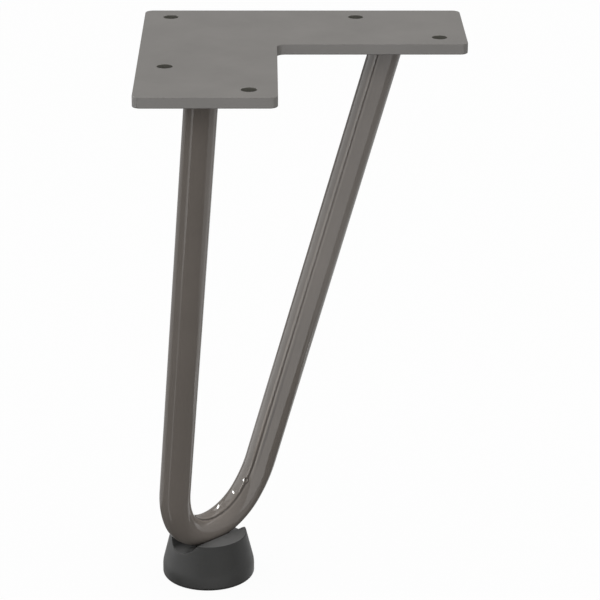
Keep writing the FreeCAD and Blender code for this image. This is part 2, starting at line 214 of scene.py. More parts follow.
def new_tree(kind, name, inputs, outputs):
    """A node group with named inputs (name, type, default) and outputs (name, type)."""
    tree = bpy.data.node_groups.new(name, kind)
    for label, socket_type, default in inputs:
        socket = tree.interface.new_socket(label, in_out="INPUT", socket_type=socket_type)
        if default is not None:
            socket.default_value = default
    for label, socket_type in outputs:
        tree.interface.new_socket(label, in_out="OUTPUT", socket_type=socket_type)
    return tree, tree.nodes.new("NodeGroupInput").outputs, tree.nodes.new("NodeGroupOutput").inputs


def feed(tree, node, inputs):
    """Give a node its inputs, by name or number: a socket is wired, a value is set."""
    for key, value in inputs.items():
        if isinstance(value, bpy.types.NodeSocket):
            tree.links.new(value, node.inputs[key])
        else:
            node.inputs[key].default_value = value


def add(tree, kind, inputs=None, **options):
    """A new node with its options and inputs."""
    node = tree.nodes.new(kind)
    for option, value in options.items():
        setattr(node, option, value)
    feed(tree, node, inputs or {})
    return node


# %% Nodes that come back
def math_on(tree, operation, first, second=0.0, clamp=False):
    """The result of one Math node."""
    made = add(tree, "ShaderNodeMath", {0: first, 1: second}, operation=operation, use_clamp=clamp)
    return made.outputs[0]


def product(tree, first, *others):
    """Two or more values multiplied."""
    for other in others:
        first = math_on(tree, "MULTIPLY", first, other)
    return first


def vector_math(tree, operation, first, second, output="Vector"):
    """The vector, or the value, that one Vector Math node gives."""
    made = add(tree, "ShaderNodeVectorMath", {0: first, 1: second}, operation=operation)
    return made.outputs[output]


def dot(tree, first, second):
    """The dot product of two vectors."""
    return vector_math(tree, "DOT_PRODUCT", first, second, "Value")


def scaled(tree, vector, factor):
    """A vector times a number."""
    return add(tree, "ShaderNodeVectorMath", {0: vector, "Scale": factor}, operation="SCALE").outputs[0]


def ranged(tree, value, old, new, **options):
    """A value carried from an old range to a new one, and held at the ends of it."""
    inputs = {0: value, 1: old[0], 2: old[1], 3: new[0], 4: new[1]}
    return add(tree, "ShaderNodeMapRange", inputs, **options).outputs[0]


def noise(tree, place, scale, detail, roughness=0.5):
    """Soft random waves around 0.5."""
    inputs = {"Vector": place, "Scale": scale, "Detail": detail, "Roughness": roughness}
    return add(tree, "ShaderNodeTexNoise", inputs).outputs[0]


def blended(tree, factor, first, second):
    """A mix of two colours."""
    return add(tree, "ShaderNodeMix", {0: factor, 6: first, 7: second}, data_type="RGBA").outputs[2]


# %% [markdown]
# ## What a painted or moulded skin has in common
# Powder paint is never a mirror. It dries with a fine orange peel, its colour drifts a little from
# patch to patch, and its edges are painted lighter: partly paint that draws thin over an edge, partly
# a painted highlight. Moulded plastic has the same three things at other sizes, its lighter rims being
# slight wear and a painted highlight, and what faces up on it is painted lighter, as painted light. So
# each is a shader group that is built once and placed in each material with its own values. Everything
# is measured on Object coordinates, which stay with the piece. The edge comes from the Bevel node,
# which compares the surface with a rounded copy of itself and so works on any mesh.

# %% Groups for peel and drift
PER_MM = 1 / MM
NOISE_SPREAD = (0.3, 0.7)
OFF_TO_ON = (0.0, 1.0)


def shader_group(name, inputs, outputs):
    """An empty shader group, the sockets it is given and the sockets it gives."""
    return new_tree("ShaderNodeTree", name, inputs, outputs)


def object_place(tree):
    """The place on the piece, in Object coordinates."""
    return add(tree, "ShaderNodeTexCoord").outputs["Object"]


def build_peel():
    """Fine bumps of a given size and depth, in millimetres."""
    inputs = [("Size", FLOAT, 1.0), ("Depth", FLOAT, 0.01), ("Detail", FLOAT, 2.0)]
    tree, given, result = shader_group("Skin peel", inputs, [("Normal", VECTOR)])
    finer = math_on(tree, "DIVIDE", PER_MM, given["Size"])
    waves = noise(tree, scaled(tree, object_place(tree), finer), scale=1.0, detail=given["Detail"])
    depth = product(tree, given["Depth"], MM)
    bump = add(tree, "ShaderNodeBump", {"Strength": 1.0, "Distance": depth, "Height": waves})
    tree.links.new(bump.outputs["Normal"], result["Normal"])
    return tree


def build_drift():
    """A colour and a roughness that wander between two values over patches of a given size."""
    inputs = [
        ("First", COLOUR, (0.2, 0.2, 0.2, 1)), ("Second", COLOUR, (0.25, 0.25, 0.25, 1)),
        ("Patch", FLOAT, 20.0), ("Smooth", FLOAT, 0.3), ("Rough", FLOAT, 0.4),
    ]
    outputs = [("Colour", COLOUR), ("Roughness", FLOAT)]
    tree, given, result = shader_group("Colour drift", inputs, outputs)
    finer = math_on(tree, "DIVIDE", PER_MM, given["Patch"])
    place = scaled(tree, object_place(tree), finer)
    waves = noise(tree, place, scale=1.0, detail=3.0, roughness=0.55)
    spread = ranged(tree, waves, NOISE_SPREAD, OFF_TO_ON)
    rough = ranged(tree, spread, OFF_TO_ON, (given["Smooth"], given["Rough"]))
    tree.links.new(blended(tree, spread, given["First"], given["Second"]), result["Colour"])
    tree.links.new(rough, result["Roughness"])
    return tree


PEEL = build_peel()
DRIFT = build_drift()
print("groups:", PEEL.name, "and", DRIFT.name)

# %% Groups for edges and faces that look up
EDGE_SAMPLES = 6
SPECKS_PER_MM = 0.5


def build_edge_light_mask():
    """A mask of the edges within a radius in millimetres, which are painted lighter, broken up so that it
    isn't a drawn line.
    """
    inputs = [("Radius", FLOAT, 0.8), ("Gain", FLOAT, 3.0), ("Break up", FLOAT, 0.4)]
    tree, given, result = shader_group("Thin edge", inputs, [("Mask", FLOAT)])
    radius = product(tree, given["Radius"], MM)
    rounded = add(tree, "ShaderNodeBevel", {"Radius": radius}, samples=EDGE_SAMPLES).outputs["Normal"]
    flat = add(tree, "ShaderNodeNewGeometry").outputs["Normal"]
    difference = math_on(tree, "SUBTRACT", 1.0, dot(tree, rounded, flat))
    edge = math_on(tree, "MULTIPLY", difference, given["Gain"], clamp=True)
    specks = noise(tree, object_place(tree), SPECKS_PER_MM * PER_MM, detail=2.0)
    loss = product(tree, specks, given["Break up"])
    tree.links.new(math_on(tree, "SUBTRACT", edge, loss, clamp=True), result["Mask"])
    return tree


def build_facing_up():
    """A mask of what faces up, where a moulded skin is painted lighter as painted light."""
    inputs = [("From", FLOAT, 0.8), ("To", FLOAT, 1.0)]
    tree, given, result = shader_group("Facing up", inputs, [("Mask", FLOAT)])
    normal = add(tree, "ShaderNodeTexCoord").outputs["Normal"]
    upward = add(tree, "ShaderNodeSeparateXYZ", {0: normal}).outputs["Z"]
    tree.links.new(ranged(tree, upward, (given["From"], given["To"]), OFF_TO_ON), result["Mask"])
    return tree


def place_group(tree, group, **values):
    """One of the groups, placed in a material with its own values."""
    named = {label.replace("_", " "): value for label, value in values.items()}
    return add(tree, "ShaderNodeGroup", named, node_tree=group).outputs


EDGE_LIGHT_MASK = build_edge_light_mask()
FACING_UP = build_facing_up()
print("groups:", EDGE_LIGHT_MASK.name, "and", FACING_UP.name)

# %% [markdown]
# ## The anthracite paint
# Plate, bar and beads are painted together after welding, in a warm grey with a glossy clear skin.
# The colour belongs to the base layer and the sharp reflections to the coat, so both get a layer of
# their own in the Principled shader. Only the base has the orange peel. The coat stays smooth, or the
# thin lines that run down the bar would break up. The plate is less glossy than the bar, because a
# level face takes more dust. The walls of the screw holes get a darker and duller paint, which is
# painted shade in the hollows.

# %% Paint material
LIGHTER_PATCH = 1.06
DARKER_PATCH = 0.95
PAINT_EDGE_SHARE = 0.5


def new_material(name):
    """A material with nodes, its tree and its Principled shader."""
    material = bpy.data.materials.new(name)
    material.use_nodes = True
    return material, material.node_tree, material.node_tree.nodes["Principled BSDF"]


def paint(name, tone, edge_tone, peel_depth, gloss, coat_roughness):
    """Glossy paint around one tone; the smooth coat carries the reflections."""
    material, tree, shader = new_material(name)
    lighter = tuple(value * LIGHTER_PATCH for value in tone) + (1,)
    darker = tuple(value * DARKER_PATCH for value in tone) + (1,)
    drift = place_group(tree, DRIFT, First=darker, Second=lighter, Patch=24.0, Smooth=0.34, Rough=0.46)
    # Lighter edges: partly paint that draws thin, partly a painted highlight.
    edge = place_group(tree, EDGE_LIGHT_MASK, Radius=0.7, Gain=2.5, Break_up=0.35)["Mask"]
    thin = product(tree, edge, PAINT_EDGE_SHARE)
    feed(tree, shader, {
        "Base Color": blended(tree, thin, drift["Colour"], edge_tone + (1,)),
        "Roughness": drift["Roughness"],
        "Normal": place_group(tree, PEEL, Size=1.3, Depth=peel_depth)["Normal"],
        "Coat Weight": gloss,
        "Coat Roughness": coat_roughness,
        "Specular IOR Level": 0.0,
    })
    return material


PLATE_PAINT = paint(
    "plate anthracite paint", tone=(0.200, 0.191, 0.180), edge_tone=(0.25, 0.24, 0.23),
    peel_depth=0.012, gloss=0.38, coat_roughness=0.05,
)
# Painted shade: the walls of the holes are darker and duller than the plate.
HOLE_SHADE_PAINT = paint(
    "thin paint in the holes", tone=(0.113, 0.110, 0.096), edge_tone=(0.15, 0.147, 0.135),
    peel_depth=0.012, gloss=0.05, coat_roughness=0.2,
)
BAR_PAINT = paint(
    "bar anthracite paint", tone=(0.203, 0.180, 0.160), edge_tone=(0.27, 0.26, 0.25),
    peel_depth=0.010, gloss=0.5, coat_roughness=0.02,
)
WELD_PAINT = paint(
    "weld anthracite paint", tone=(0.202, 0.180, 0.162), edge_tone=(0.27, 0.26, 0.25),
    peel_depth=0.040, gloss=0.5, coat_roughness=0.08,
)
print("paints:", [made.name for made in (PLATE_PAINT, HOLE_SHADE_PAINT, BAR_PAINT, WELD_PAINT)])

# %% [markdown]
# ## Painted reflections along the bar
# The glossy bar mirrors a dark line between two lighter lines on its inner half, with a second dark
# line beside it part of the way up. They are painted reflections: dark and light lines painted into
# the base colour of the paint. They keep their turn round the bar all the way down, so a mask on the
# surface's own direction draws them: where its normal has a given share towards one side of the bar's
# plane, there the line is. Only the inner half of the bar has them, and their strength changes with
# the distance from the bend.

# %% The group that draws one line
REFLECTION_LINE_WANDER = 0.05
REFLECTION_LINE_WAVES_PER_MM = 0.2
REFLECTION_LINE_SOFT_EDGE = (0.3, 0.7)
REFLECTION_LINE_MIDDLE_FADE = (25 * MM, 45 * MM)
REFLECTION_LINE_TOP_FADE = (50 * MM, 100 * MM)
ON_TO_OFF = (1.0, 0.0)


def build_reflection_line():
    """A mask of one painted reflection line that keeps its turn round a bar bent in one plane, and fades up
    the bar.
    """
    inputs = [
        ("Side", VECTOR, (0, 0, 1)), ("Middle", VECTOR, (0, 0, 0)), ("Bend", VECTOR, (0, 0, 0)),
        ("Turn", FLOAT, -0.3), ("Width", FLOAT, 0.1),
        ("Near share", FLOAT, 1.0), ("Far share", FLOAT, 0.25), ("Top share", FLOAT, 1.0),
    ]
    tree, given, result = shader_group("Seam of the bar", inputs, [("Mask", FLOAT)])
    coordinates = add(tree, "ShaderNodeTexCoord").outputs
    place = coordinates["Object"]
    facing = coordinates["Normal"]
    waves = noise(tree, place, REFLECTION_LINE_WAVES_PER_MM * PER_MM, detail=2.0)
    wander = product(tree, math_on(tree, "SUBTRACT", waves, 0.5), REFLECTION_LINE_WANDER)
    turn = math_on(tree, "ADD", dot(tree, facing, given["Side"]), wander)
    miss = math_on(tree, "ABSOLUTE", math_on(tree, "SUBTRACT", turn, given["Turn"]))
    line = ranged(tree, math_on(tree, "DIVIDE", miss, given["Width"]), REFLECTION_LINE_SOFT_EDGE, ON_TO_OFF)
    toward_middle = vector_math(tree, "SUBTRACT", given["Middle"], place)
    inner = math_on(tree, "GREATER_THAN", dot(tree, facing, toward_middle), 0.0)
    away = vector_math(tree, "DISTANCE", place, given["Bend"], "Value")
    fade = ranged(tree, away, REFLECTION_LINE_MIDDLE_FADE, (given["Near share"], given["Far share"]))
    top_fade = ranged(tree, away, REFLECTION_LINE_TOP_FADE, (1.0, given["Top share"]))
    tree.links.new(product(tree, line, fade, top_fade, inner), result["Mask"])
    return tree


REFLECTION_LINE_GROUP = build_reflection_line()
print("group:", REFLECTION_LINE_GROUP.name)

# %% The painted reflection lines of the bar
# A line is its turn round the bar, its width, its tone and three strengths: near the bend, further
# up, and what is left of that at the top. Turn and width are shares of the normal.
# Painted reflections: dark and light lines put into the bar's base colour.
DARK_REFLECTION_TONE = (0.095, 0.085, 0.077, 1)
LIGHT_REFLECTION_TONE = (0.36, 0.318, 0.28, 1)
PAINTED_REFLECTION_LINES = (
    (-0.145, 0.11, LIGHT_REFLECTION_TONE, 0.2, 0.9, 0.55),
    (-0.41, 0.11, LIGHT_REFLECTION_TONE, 0.2, 0.45, 0.5),
    (-0.55, 0.11, DARK_REFLECTION_TONE, 0.0, 0.7, 0.05),
    (-0.30, 0.13, DARK_REFLECTION_TONE, 0.9, 0.45, 0.7),
)


def paint_reflection_lines(material, side, middle, bend):
    """Paint the reflection lines into a paint's base colour, for a bar in the plane with this side, middle
    and bend.
    """
    tree = material.node_tree
    base = tree.nodes["Principled BSDF"].inputs["Base Color"]
    for turn, width, tone, near_share, far_share, top_share in PAINTED_REFLECTION_LINES:
        line = place_group(
            tree, REFLECTION_LINE_GROUP, Side=tuple(side), Middle=tuple(middle), Bend=tuple(bend),
            Turn=turn, Width=width, Near_share=near_share, Far_share=far_share, Top_share=top_share,
        )["Mask"]
        tree.links.new(blended(tree, line, base.links[0].from_socket, tone), base)


paint_reflection_lines(BAR_PAINT, plane_normal, hairpin_top, lowest)
print("lines drawn along the bar:", len(PAINTED_REFLECTION_LINES))

# %% [markdown]
# ## Chips in the bar's paint
# Low on the bend the paint is chipped through to the bare steel in three small spots. A chip could be
# painted as an image, but a mask in Object coordinates needs no unwrapping: an oval round a place on
# the bar, whose rim is made ragged by noise. Where the mask is on, the coat goes and the steel is metal.
# The same three places have dents beside them, which the bar's own tree sinks in later, so the places
# are worked out first, from their distance along the centre line.

# %% Where the chips and dents are
# A chip is its distance from the lowest point along the bar's right half and its turn out of the
# bend's plane, then its tilt in the picture, its length and width, and how far beside it its dent lies,
# all in millimetres and degrees.
CHIPS = (
    (8.0, 18, 20, 3.1, 0.75, 1.9),
    (19.7, 10, -25, 1.5, 0.65, 1.8),
    (27.8, -5, 0, 1.0, 0.65, 1.1),
)
RIGHT_IN_VIEW = Vector((1, 0, 0))
UP_IN_VIEW = Vector((0, 0.35, 0.937))


def centre_line(distance):
    """The bar's middle and its inward side, at a distance from the lowest point along its right half."""
    bend_length = BEND_RADIUS * BEND_HALF_SWEEP
    if distance < bend_length:
        angle = distance / BEND_RADIUS - QUARTER
        flat = bend_centre + turned(angle) * BEND_RADIUS
    else:
        angle = BEND_HALF_SWEEP - QUARTER + (distance - bend_length) / SHOULDER_RADIUS
        flat = shoulder_centre + turned(angle) * SHOULDER_RADIUS
    inner_side = (in_plane(-turned(angle)) - hairpin_top).normalized()
    return in_plane(flat), inner_side


def press_marks():
    """The chips, as wear_through takes them, and the middles of the dents beside them."""
    chips = []
    dents = []
    for distance, degrees, tilt, length, width, beside in CHIPS:
        centre, inner = centre_line(distance * MM)
        turn = turned(math.radians(degrees))
        slope = turned(math.radians(tilt))
        outward = inner * turn.x + plane_normal * turn.y
        place = centre + outward * BAR_RADIUS
        rising = outward.cross(RIGHT_IN_VIEW * slope.x - UP_IN_VIEW * slope.y).normalized()
        chips.append((place, rising, length, width))
        dents.append(place + rising.cross(outward) * beside * MM)
    return chips, dents


chips, dents = press_marks()
print("chips at, in mm:", in_mm([place for place, *_ in chips], 1))

# %% The group that masks one chip
CHIP_WAVES_PER_MM = 1.6
CHIP_RAGGED = 0.8
CHIP_RIM = (1.3, 1.5)


def build_chip():
    """A mask of one small oval with a ragged rim, of a length and width in millimetres."""
    inputs = [
        ("Place", VECTOR, (0, 0, 0)), ("Along", VECTOR, (0, 0, 1)),
        ("Length", FLOAT, 2.0), ("Width", FLOAT, 1.0),
    ]
    tree, given, result = shader_group("Chip in the paint", inputs, [("Mask", FLOAT)])
    place = object_place(tree)
    offset = scaled(tree, vector_math(tree, "SUBTRACT", place, given["Place"]), 2 * PER_MM)
    run = dot(tree, offset, given["Along"])
    run_squared = product(tree, run, run)
    rest_squared = math_on(tree, "SUBTRACT", dot(tree, offset, offset), run_squared)
    long_share = math_on(tree, "DIVIDE", run_squared, product(tree, given["Length"], given["Length"]))
    wide_share = math_on(tree, "DIVIDE", rest_squared, product(tree, given["Width"], given["Width"]))
    oval = math_on(tree, "SQRT", math_on(tree, "ADD", long_share, wide_share))
    waves = noise(tree, place, CHIP_WAVES_PER_MM * PER_MM, detail=2.0)
    ragged = math_on(tree, "ADD", oval, product(tree, waves, CHIP_RAGGED))
    tree.links.new(ranged(tree, ragged, CHIP_RIM, ON_TO_OFF), result["Mask"])
    return tree


CHIP = build_chip()
print("group:", CHIP.name)

# %% Bare steel through the paint
BARE_STEEL = (0.72, 0.71, 0.69, 1)
BARE_ROUGHNESS = 0.2


def wear_through(material, chips):
    """Bare steel in small ovals through a paint; a chip is its place, direction, length and width."""
    tree = material.node_tree
    shader = tree.nodes["Principled BSDF"]
    worn = None
    for place, along, length, width in chips:
        chip = place_group(tree, CHIP, Place=tuple(place), Along=tuple(along), Length=length, Width=width)
        worn = math_on(tree, "MAXIMUM", worn, chip["Mask"]) if worn else chip["Mask"]
    whole = math_on(tree, "SUBTRACT", 1.0, worn)
    painted = shader.inputs["Base Color"].links[0].from_socket
    painted_roughness = product(tree, shader.inputs["Roughness"].links[0].from_socket, whole)
    feed(tree, shader, {
        "Base Color": blended(tree, worn, painted, BARE_STEEL),
        "Roughness": math_on(tree, "ADD", painted_roughness, product(tree, worn, BARE_ROUGHNESS)),
        "Metallic": worn,
        "Coat Weight": product(tree, whole, shader.inputs["Coat Weight"].default_value),
    })


wear_through(BAR_PAINT, chips)
print("chips worn through the bar's paint:", len(chips))

# %% [markdown]
# ## The foot's plastic and the screw's zinc
# The foot is moulded in black plastic, with a fine spark-eroded grain from the mould, so its shine is
# broad and soft. Its flat top is painted lighter, as painted light, and its rims as slight wear and a
# painted highlight. The screw is steel under a thin zinc layer, which has a cool blotchy tint and fine
# turning marks. A metal needs no coat: its colour is its reflection.

# %% Plastic and zinc materials
# The foot's rims are painted lighter: slight wear and a painted highlight.
RIM_WEAR_AND_HIGHLIGHT_TONE = (0.10, 0.10, 0.10, 1)
RIM_WEAR_AND_HIGHLIGHT_SHARE = 0.4
# Painted light: the up-facing top is painted lighter, where light falls on it.
TOP_LIGHT_TONE = (0.118, 0.118, 0.116, 1)


def foot_plastic():
    """Moulded plastic with a fine grain, rims lighter from slight wear and painted highlight, and a top
    painted lighter as painted light.
    """
    material, tree, shader = new_material("moulded grey plastic")
    drift = place_group(
        tree, DRIFT, First=(0.028, 0.028, 0.027, 1), Second=(0.034, 0.034, 0.033, 1),
        Patch=9.0, Smooth=0.42, Rough=0.52,
    )
    edge = place_group(tree, EDGE_LIGHT_MASK, Radius=0.6, Gain=2.0, Break_up=0.5)["Mask"]
    worn = blended(tree, product(tree, edge, RIM_WEAR_AND_HIGHLIGHT_SHARE), drift["Colour"], RIM_WEAR_AND_HIGHLIGHT_TONE)
    top = place_group(tree, FACING_UP, From=0.85, To=0.99)["Mask"]
    feed(tree, shader, {
        "Base Color": blended(tree, top, worn, TOP_LIGHT_TONE),
        "Roughness": drift["Roughness"],
        "Normal": place_group(tree, PEEL, Size=0.22, Depth=0.008, Detail=3.0)["Normal"],
        "Specular IOR Level": 0.20,
    })
    return material


def screw_zinc():
    """Bright zinc with a blotchy tint and fine turning marks."""
    material, tree, shader = new_material("zinc plated steel")
    drift = place_group(
        tree, DRIFT, First=(0.52, 0.55, 0.58, 1), Second=(0.62, 0.61, 0.56, 1),
        Patch=3.0, Smooth=0.28, Rough=0.42,
    )
    feed(tree, shader, {
        "Base Color": drift["Colour"],
        "Roughness": drift["Roughness"],
        "Normal": place_group(tree, PEEL, Size=0.15, Depth=0.006)["Normal"],
        "Metallic": 1.0,
    })
    return material


FOOT_PLASTIC = foot_plastic()
SCREW_ZINC = screw_zinc()
print("also made:", FOOT_PLASTIC.name, "and", SCREW_ZINC.name)

# %% [markdown]
# ## Geometry Nodes for what follows a path or repeats
# The bar follows its centre line, a weld bead runs round the bar's end, a thread winds round its core
# and the screw holes repeat one circle. Each gets a tree with named sizes.

# %% Running a tree
SHAPE = "NodeSocketGeometry"
OBJECT = "NodeSocketObject"


def grown(name, tree, sizes, base=None):
    """Run a Geometry Nodes tree with the given sizes and keep its result as a plain mesh."""
    host = base or mesh_object(name + "_host")
    modifier = host.modifiers.new("nodes", "NODES")
    modifier.node_group = tree
    for item in tree.interface.items_tree:
        if item.in_out == "INPUT" and item.name in sizes:
            modifier[item.identifier] = sizes[item.name]
    return flattened(host, name)


def shape_tree(name, inputs):
    """A Geometry Nodes tree that takes a shape and sizes and gives a shape in one finish."""
    given_inputs = [("Geometry", SHAPE, None), ("Finish", "NodeSocketMaterial", None)] + inputs
    return new_tree("GeometryNodeTree", name, given_inputs, [("Geometry", SHAPE)])


def finish_tree(tree, shape, given, result):
    """Close a tree: real geometry in one material."""
    real = add(tree, "GeometryNodeRealizeInstances", {"Geometry": shape}).outputs[0]
    inputs = {"Geometry": real, "Material": given["Finish"]}
    tree.links.new(add(tree, "GeometryNodeSetMaterial", inputs).outputs[0], result["Geometry"])
    print("tree:", tree.name + ",", len(tree.nodes), "nodes")


# %% Nodes that the shape trees share
def shape_of(tree, thing):
    """The geometry of an object that the tree is given."""
    return add(tree, "GeometryNodeObjectInfo", {"Object": thing}).outputs["Geometry"]


def ring(tree, sides, radius):
    """A circle as a curve."""
    inputs = {"Resolution": sides, "Radius": radius}
    return add(tree, "GeometryNodeCurvePrimitiveCircle", inputs).outputs[0]


def swept(tree, path, profile, **more):
    """A profile swept along a path."""
    return add(tree, "GeometryNodeCurveToMesh", {"Curve": path, "Profile Curve": profile, **more}).outputs[0]


def moved(tree, shape, offset):
    """A shape with its points moved by an offset."""
    return add(tree, "GeometryNodeSetPosition", {"Geometry": shape, "Offset": offset}).outputs[0]


def joined(tree, first, second):
    """Two shapes in one."""
    node = add(tree, "GeometryNodeJoinGeometry", {"Geometry": first})
    tree.links.new(second, node.inputs[0])
    return node.outputs[0]


def curve_object(name, kind, count, closed=False, resolution=12):
    """A curve object with one spline of a number of points, and those points."""
    curve = bpy.data.curves.new(name, "CURVE")
    curve.dimensions = "3D"
    curve.resolution_u = resolution
    spline = curve.splines.new(kind)
    stations = spline.bezier_points if kind == "BEZIER" else spline.points
    stations.add(count - 1)
    spline.use_cyclic_u = closed
    return new_object(name, curve), stations


# %% [markdown]
# ## The bent bar
# A bar this thick could be made by revolving and extruding pieces, but they would have to meet without
# a crease. Sweeping one circle along one curve has no joints at all. The curve is a Bezier spline with
# a point only where the radius changes, and handles of four thirds of the tangent of a quarter of
# the turn, which follow a circle to a hair. Its ends run on into the plate and are then cut level.
# The paint stands as a thin skin over the steel and isn't quite even, so the tree adds a slight
# waviness. It also sinks the surface by its distance to three marks, which makes the shallow dents
# beside the chips. A boolean drills the hole for the foot's screw.

# %% The path of the bar
PATH_RESOLUTION = 64
PATH_OVERRUN = 2 * BAR_RADIUS


def handle_length(sweep, radius):
    """Length of the Bezier handles that follow an arc."""
    return 4 / 3 * math.tan(sweep / 4) * radius


def hairpin_curve():
    """The bar's centre line as a Bezier curve object with seven points."""
    bend_handle = handle_length(BEND_HALF_SWEEP, BEND_RADIUS)
    shoulder_handle = handle_length(QUARTER - leg_angle - BEND_HALF_SWEEP, SHOULDER_RADIUS)
    junction = bend_centre + turned(BEND_HALF_SWEEP - QUARTER) * BEND_RADIUS
    junction_along = turned(BEND_HALF_SWEEP)
    straight_start = shoulder_centre + turned(-leg_angle) * SHOULDER_RADIUS
    straight_along = turned(QUARTER - leg_angle)
    straight_length = (PATH_OVERRUN - straight_start.y) / straight_along.y
    straight_end = straight_start + straight_along * straight_length
    third = (straight_end - straight_start) / 3
    right_half = [
        (straight_end, third, -third),
        (straight_start, third, -straight_along * shoulder_handle),
        (junction, junction_along * shoulder_handle, -junction_along * bend_handle),
    ]
    bottom = (Vector((0, -reach)), Vector((bend_handle, 0)), Vector((-bend_handle, 0)))
    left_half = []
    for point, before, after in reversed(right_half):
        left_half.append([Vector((-flat.x, flat.y)) for flat in (point, after, before)])
    plan = right_half + [bottom] + left_half

    made, stations = curve_object("bar_centre_line", "BEZIER", len(plan), resolution=PATH_RESOLUTION)
    for station, (point, before, after) in zip(stations, plan):
        station.handle_left_type = "FREE"
        station.handle_right_type = "FREE"
        station.co = in_plane(point)
        station.handle_left = in_plane(point + before)
        station.handle_right = in_plane(point + after)
    return made


path = hairpin_curve()
print("path of the bar:", len(path.data.splines[0].bezier_points), "points")

# %% The tree of the bar
BAR_STEP = 0.6 * MM
BAR_SIDES = 96
PAINT_SKIN = 0.12 * MM
DENT_RADIUS = 1.4 * MM
DENT_DEPTH = 0.22 * MM
WAVE_DEPTH = 0.03 * MM
WAVES_PER_MM = 0.11


def build_bar_tree():
    """A circle swept along a path, slightly wavy and sunk in smoothly around a few marks."""
    inputs = [
        ("Path", OBJECT, None), ("Marks", OBJECT, None), ("Radius", FLOAT, BAR_RADIUS),
        ("Step", FLOAT, BAR_STEP), ("Sides", "NodeSocketInt", BAR_SIDES),
        ("Dent radius", FLOAT, DENT_RADIUS), ("Dent depth", FLOAT, DENT_DEPTH),
        ("Waviness", FLOAT, WAVE_DEPTH),
    ]
    tree, given, result = shape_tree("Bent bar", inputs)
    steps = {"Curve": shape_of(tree, given["Path"]), "Length": given["Step"]}
    even = add(tree, "GeometryNodeResampleCurve", steps, mode="LENGTH").outputs[0]
    bar = swept(tree, even, ring(tree, given["Sides"], given["Radius"]))
    marks = {0: shape_of(tree, given["Marks"])}
    near = add(tree, "GeometryNodeProximity", marks, target_element="POINTS").outputs["Distance"]
    dent = ranged(
        tree, near, (0.0, given["Dent radius"]), (given["Dent depth"], 0.0), interpolation_type="SMOOTHSTEP",
    )
    place = add(tree, "GeometryNodeInputPosition").outputs[0]
    waves = noise(tree, place, WAVES_PER_MM * PER_MM, detail=1.0)
    sink = math_on(tree, "ADD", dent, product(tree, waves, given["Waviness"]))
    normal = add(tree, "GeometryNodeInputNormal").outputs[0]
    finish_tree(tree, moved(tree, bar, scaled(tree, normal, product(tree, sink, -1.0))), given, result)
    return tree


BAR_TREE = build_bar_tree()

# %% Tools that cut
DRILL_SIDES = 64


def cylinder(name, middle, radius, low, high, sides=DRILL_SIDES):
    """An upright closed cylinder, used as a drill."""
    points = []
    for level in (low, high):
        for step in range(sides):
            flat = turned(math.tau * step / sides) * radius
            points.append((middle.x + flat.x, middle.y + flat.y, level))
    faces = grid_faces(2, sides, closed_rows=False)
    faces.append(tuple(range(sides)))
    faces.append(tuple(range(2 * sides - 1, sides - 1, -1)))
    made = mesh_object(name, points, faces)
    tidy(made.data)
    return made


def cut_level(piece, height):
    """Cut everything above a height away and close the cut."""
    work = bmesh.new()
    work.from_mesh(piece.data)
    everything = work.verts[:] + work.edges[:] + work.faces[:]
    bmesh.ops.bisect_plane(
        work, geom=everything, plane_co=(0, 0, height), plane_no=(0, 0, 1), clear_outer=True,
    )
    rims = [edge for edge in work.edges if edge.is_boundary]
    bmesh.ops.contextual_create(work, geom=rims)
    bmesh.ops.holes_fill(work, edges=[edge for edge in work.edges if edge.is_boundary], sides=0)
    work.to_mesh(piece.data)
    work.free()


def drilled(piece, drill):
    """Take the drill out of a piece by an exact boolean."""
    modifier = piece.modifiers.new("drill", "BOOLEAN")
    modifier.operation = "DIFFERENCE"
    modifier.solver = "EXACT"
    modifier.object = drill
    made = flattened(piece, piece.name)
    bpy.data.objects.remove(drill)
    return made


# %% Sweep, cut and drill the bar
TAPPED_RADIUS = 2.55 * MM
TAPPED_SPARE = 1 * MM

marks = mesh_object("dents", dents)
bar = grown("bent_bar", BAR_TREE, {
    "Path": path, "Marks": marks, "Finish": BAR_PAINT, "Radius": BAR_RADIUS + PAINT_SKIN, "Step": BAR_STEP,
    "Sides": BAR_SIDES, "Dent radius": DENT_RADIUS, "Dent depth": DENT_DEPTH, "Waviness": WAVE_DEPTH,
})
bpy.data.objects.remove(path)
bpy.data.objects.remove(marks)
cut_level(bar, underside)
bar = drilled(bar, cylinder("drill", foot_axis, TAPPED_RADIUS, floor_height, screw_high.z + TAPPED_SPARE))
tidy(bar.data)
shade(bar, sharp_angle=40)
fit(bar, "hairpin_rod")

# %% [markdown]
# ## The mounting plate
# The plate is laser cut and then painted, so its outline and its five holes have crisp but not sharp
# rims. A boolean would leave long thin faces round each hole. Filling a flat outline together with
# the hole circles and then extruding it gives a clean plate at once, and the holes are one circle
# that is repeated on five points. A Bevel modifier rounds all rims as the paint does, and Weighted
# Normals keep the large faces flat. At the end the walls of the holes get the darker paint of painted
# shade, by their distance from the middle of the nearest hole.

# %% Outline and hole places
CORNER_RADIUS = 3 * MM
CORNER_STEPS = 8
HOLE_RADIUS = 2.75 * MM
HOLE_INSET = 10 * MM
HOLE_PITCH = 70 * MM


def rounded_corners(corners, radius, steps):
    """The corners of a polygon with square turns, each replaced by an arc."""
    points = []
    for number, corner in enumerate(corners):
        before = (corners[number - 1] - corner).normalized()
        after = (corners[(number + 1) % len(corners)] - corner).normalized()
        centre = corner + (before + after) * radius
        for step in range(steps + 1):
            flat = turned(QUARTER * step / steps) * radius
            points.append(centre - after * flat.x - before * flat.y)
    return points


def flat_curve(name, points):
    """A closed polygon as a curve object."""
    made, stations = curve_object(name, "POLY", len(points), closed=True)
    for station, point in zip(stations, points):
        station.co = (point.x, point.y, point.z, 1)
    return made


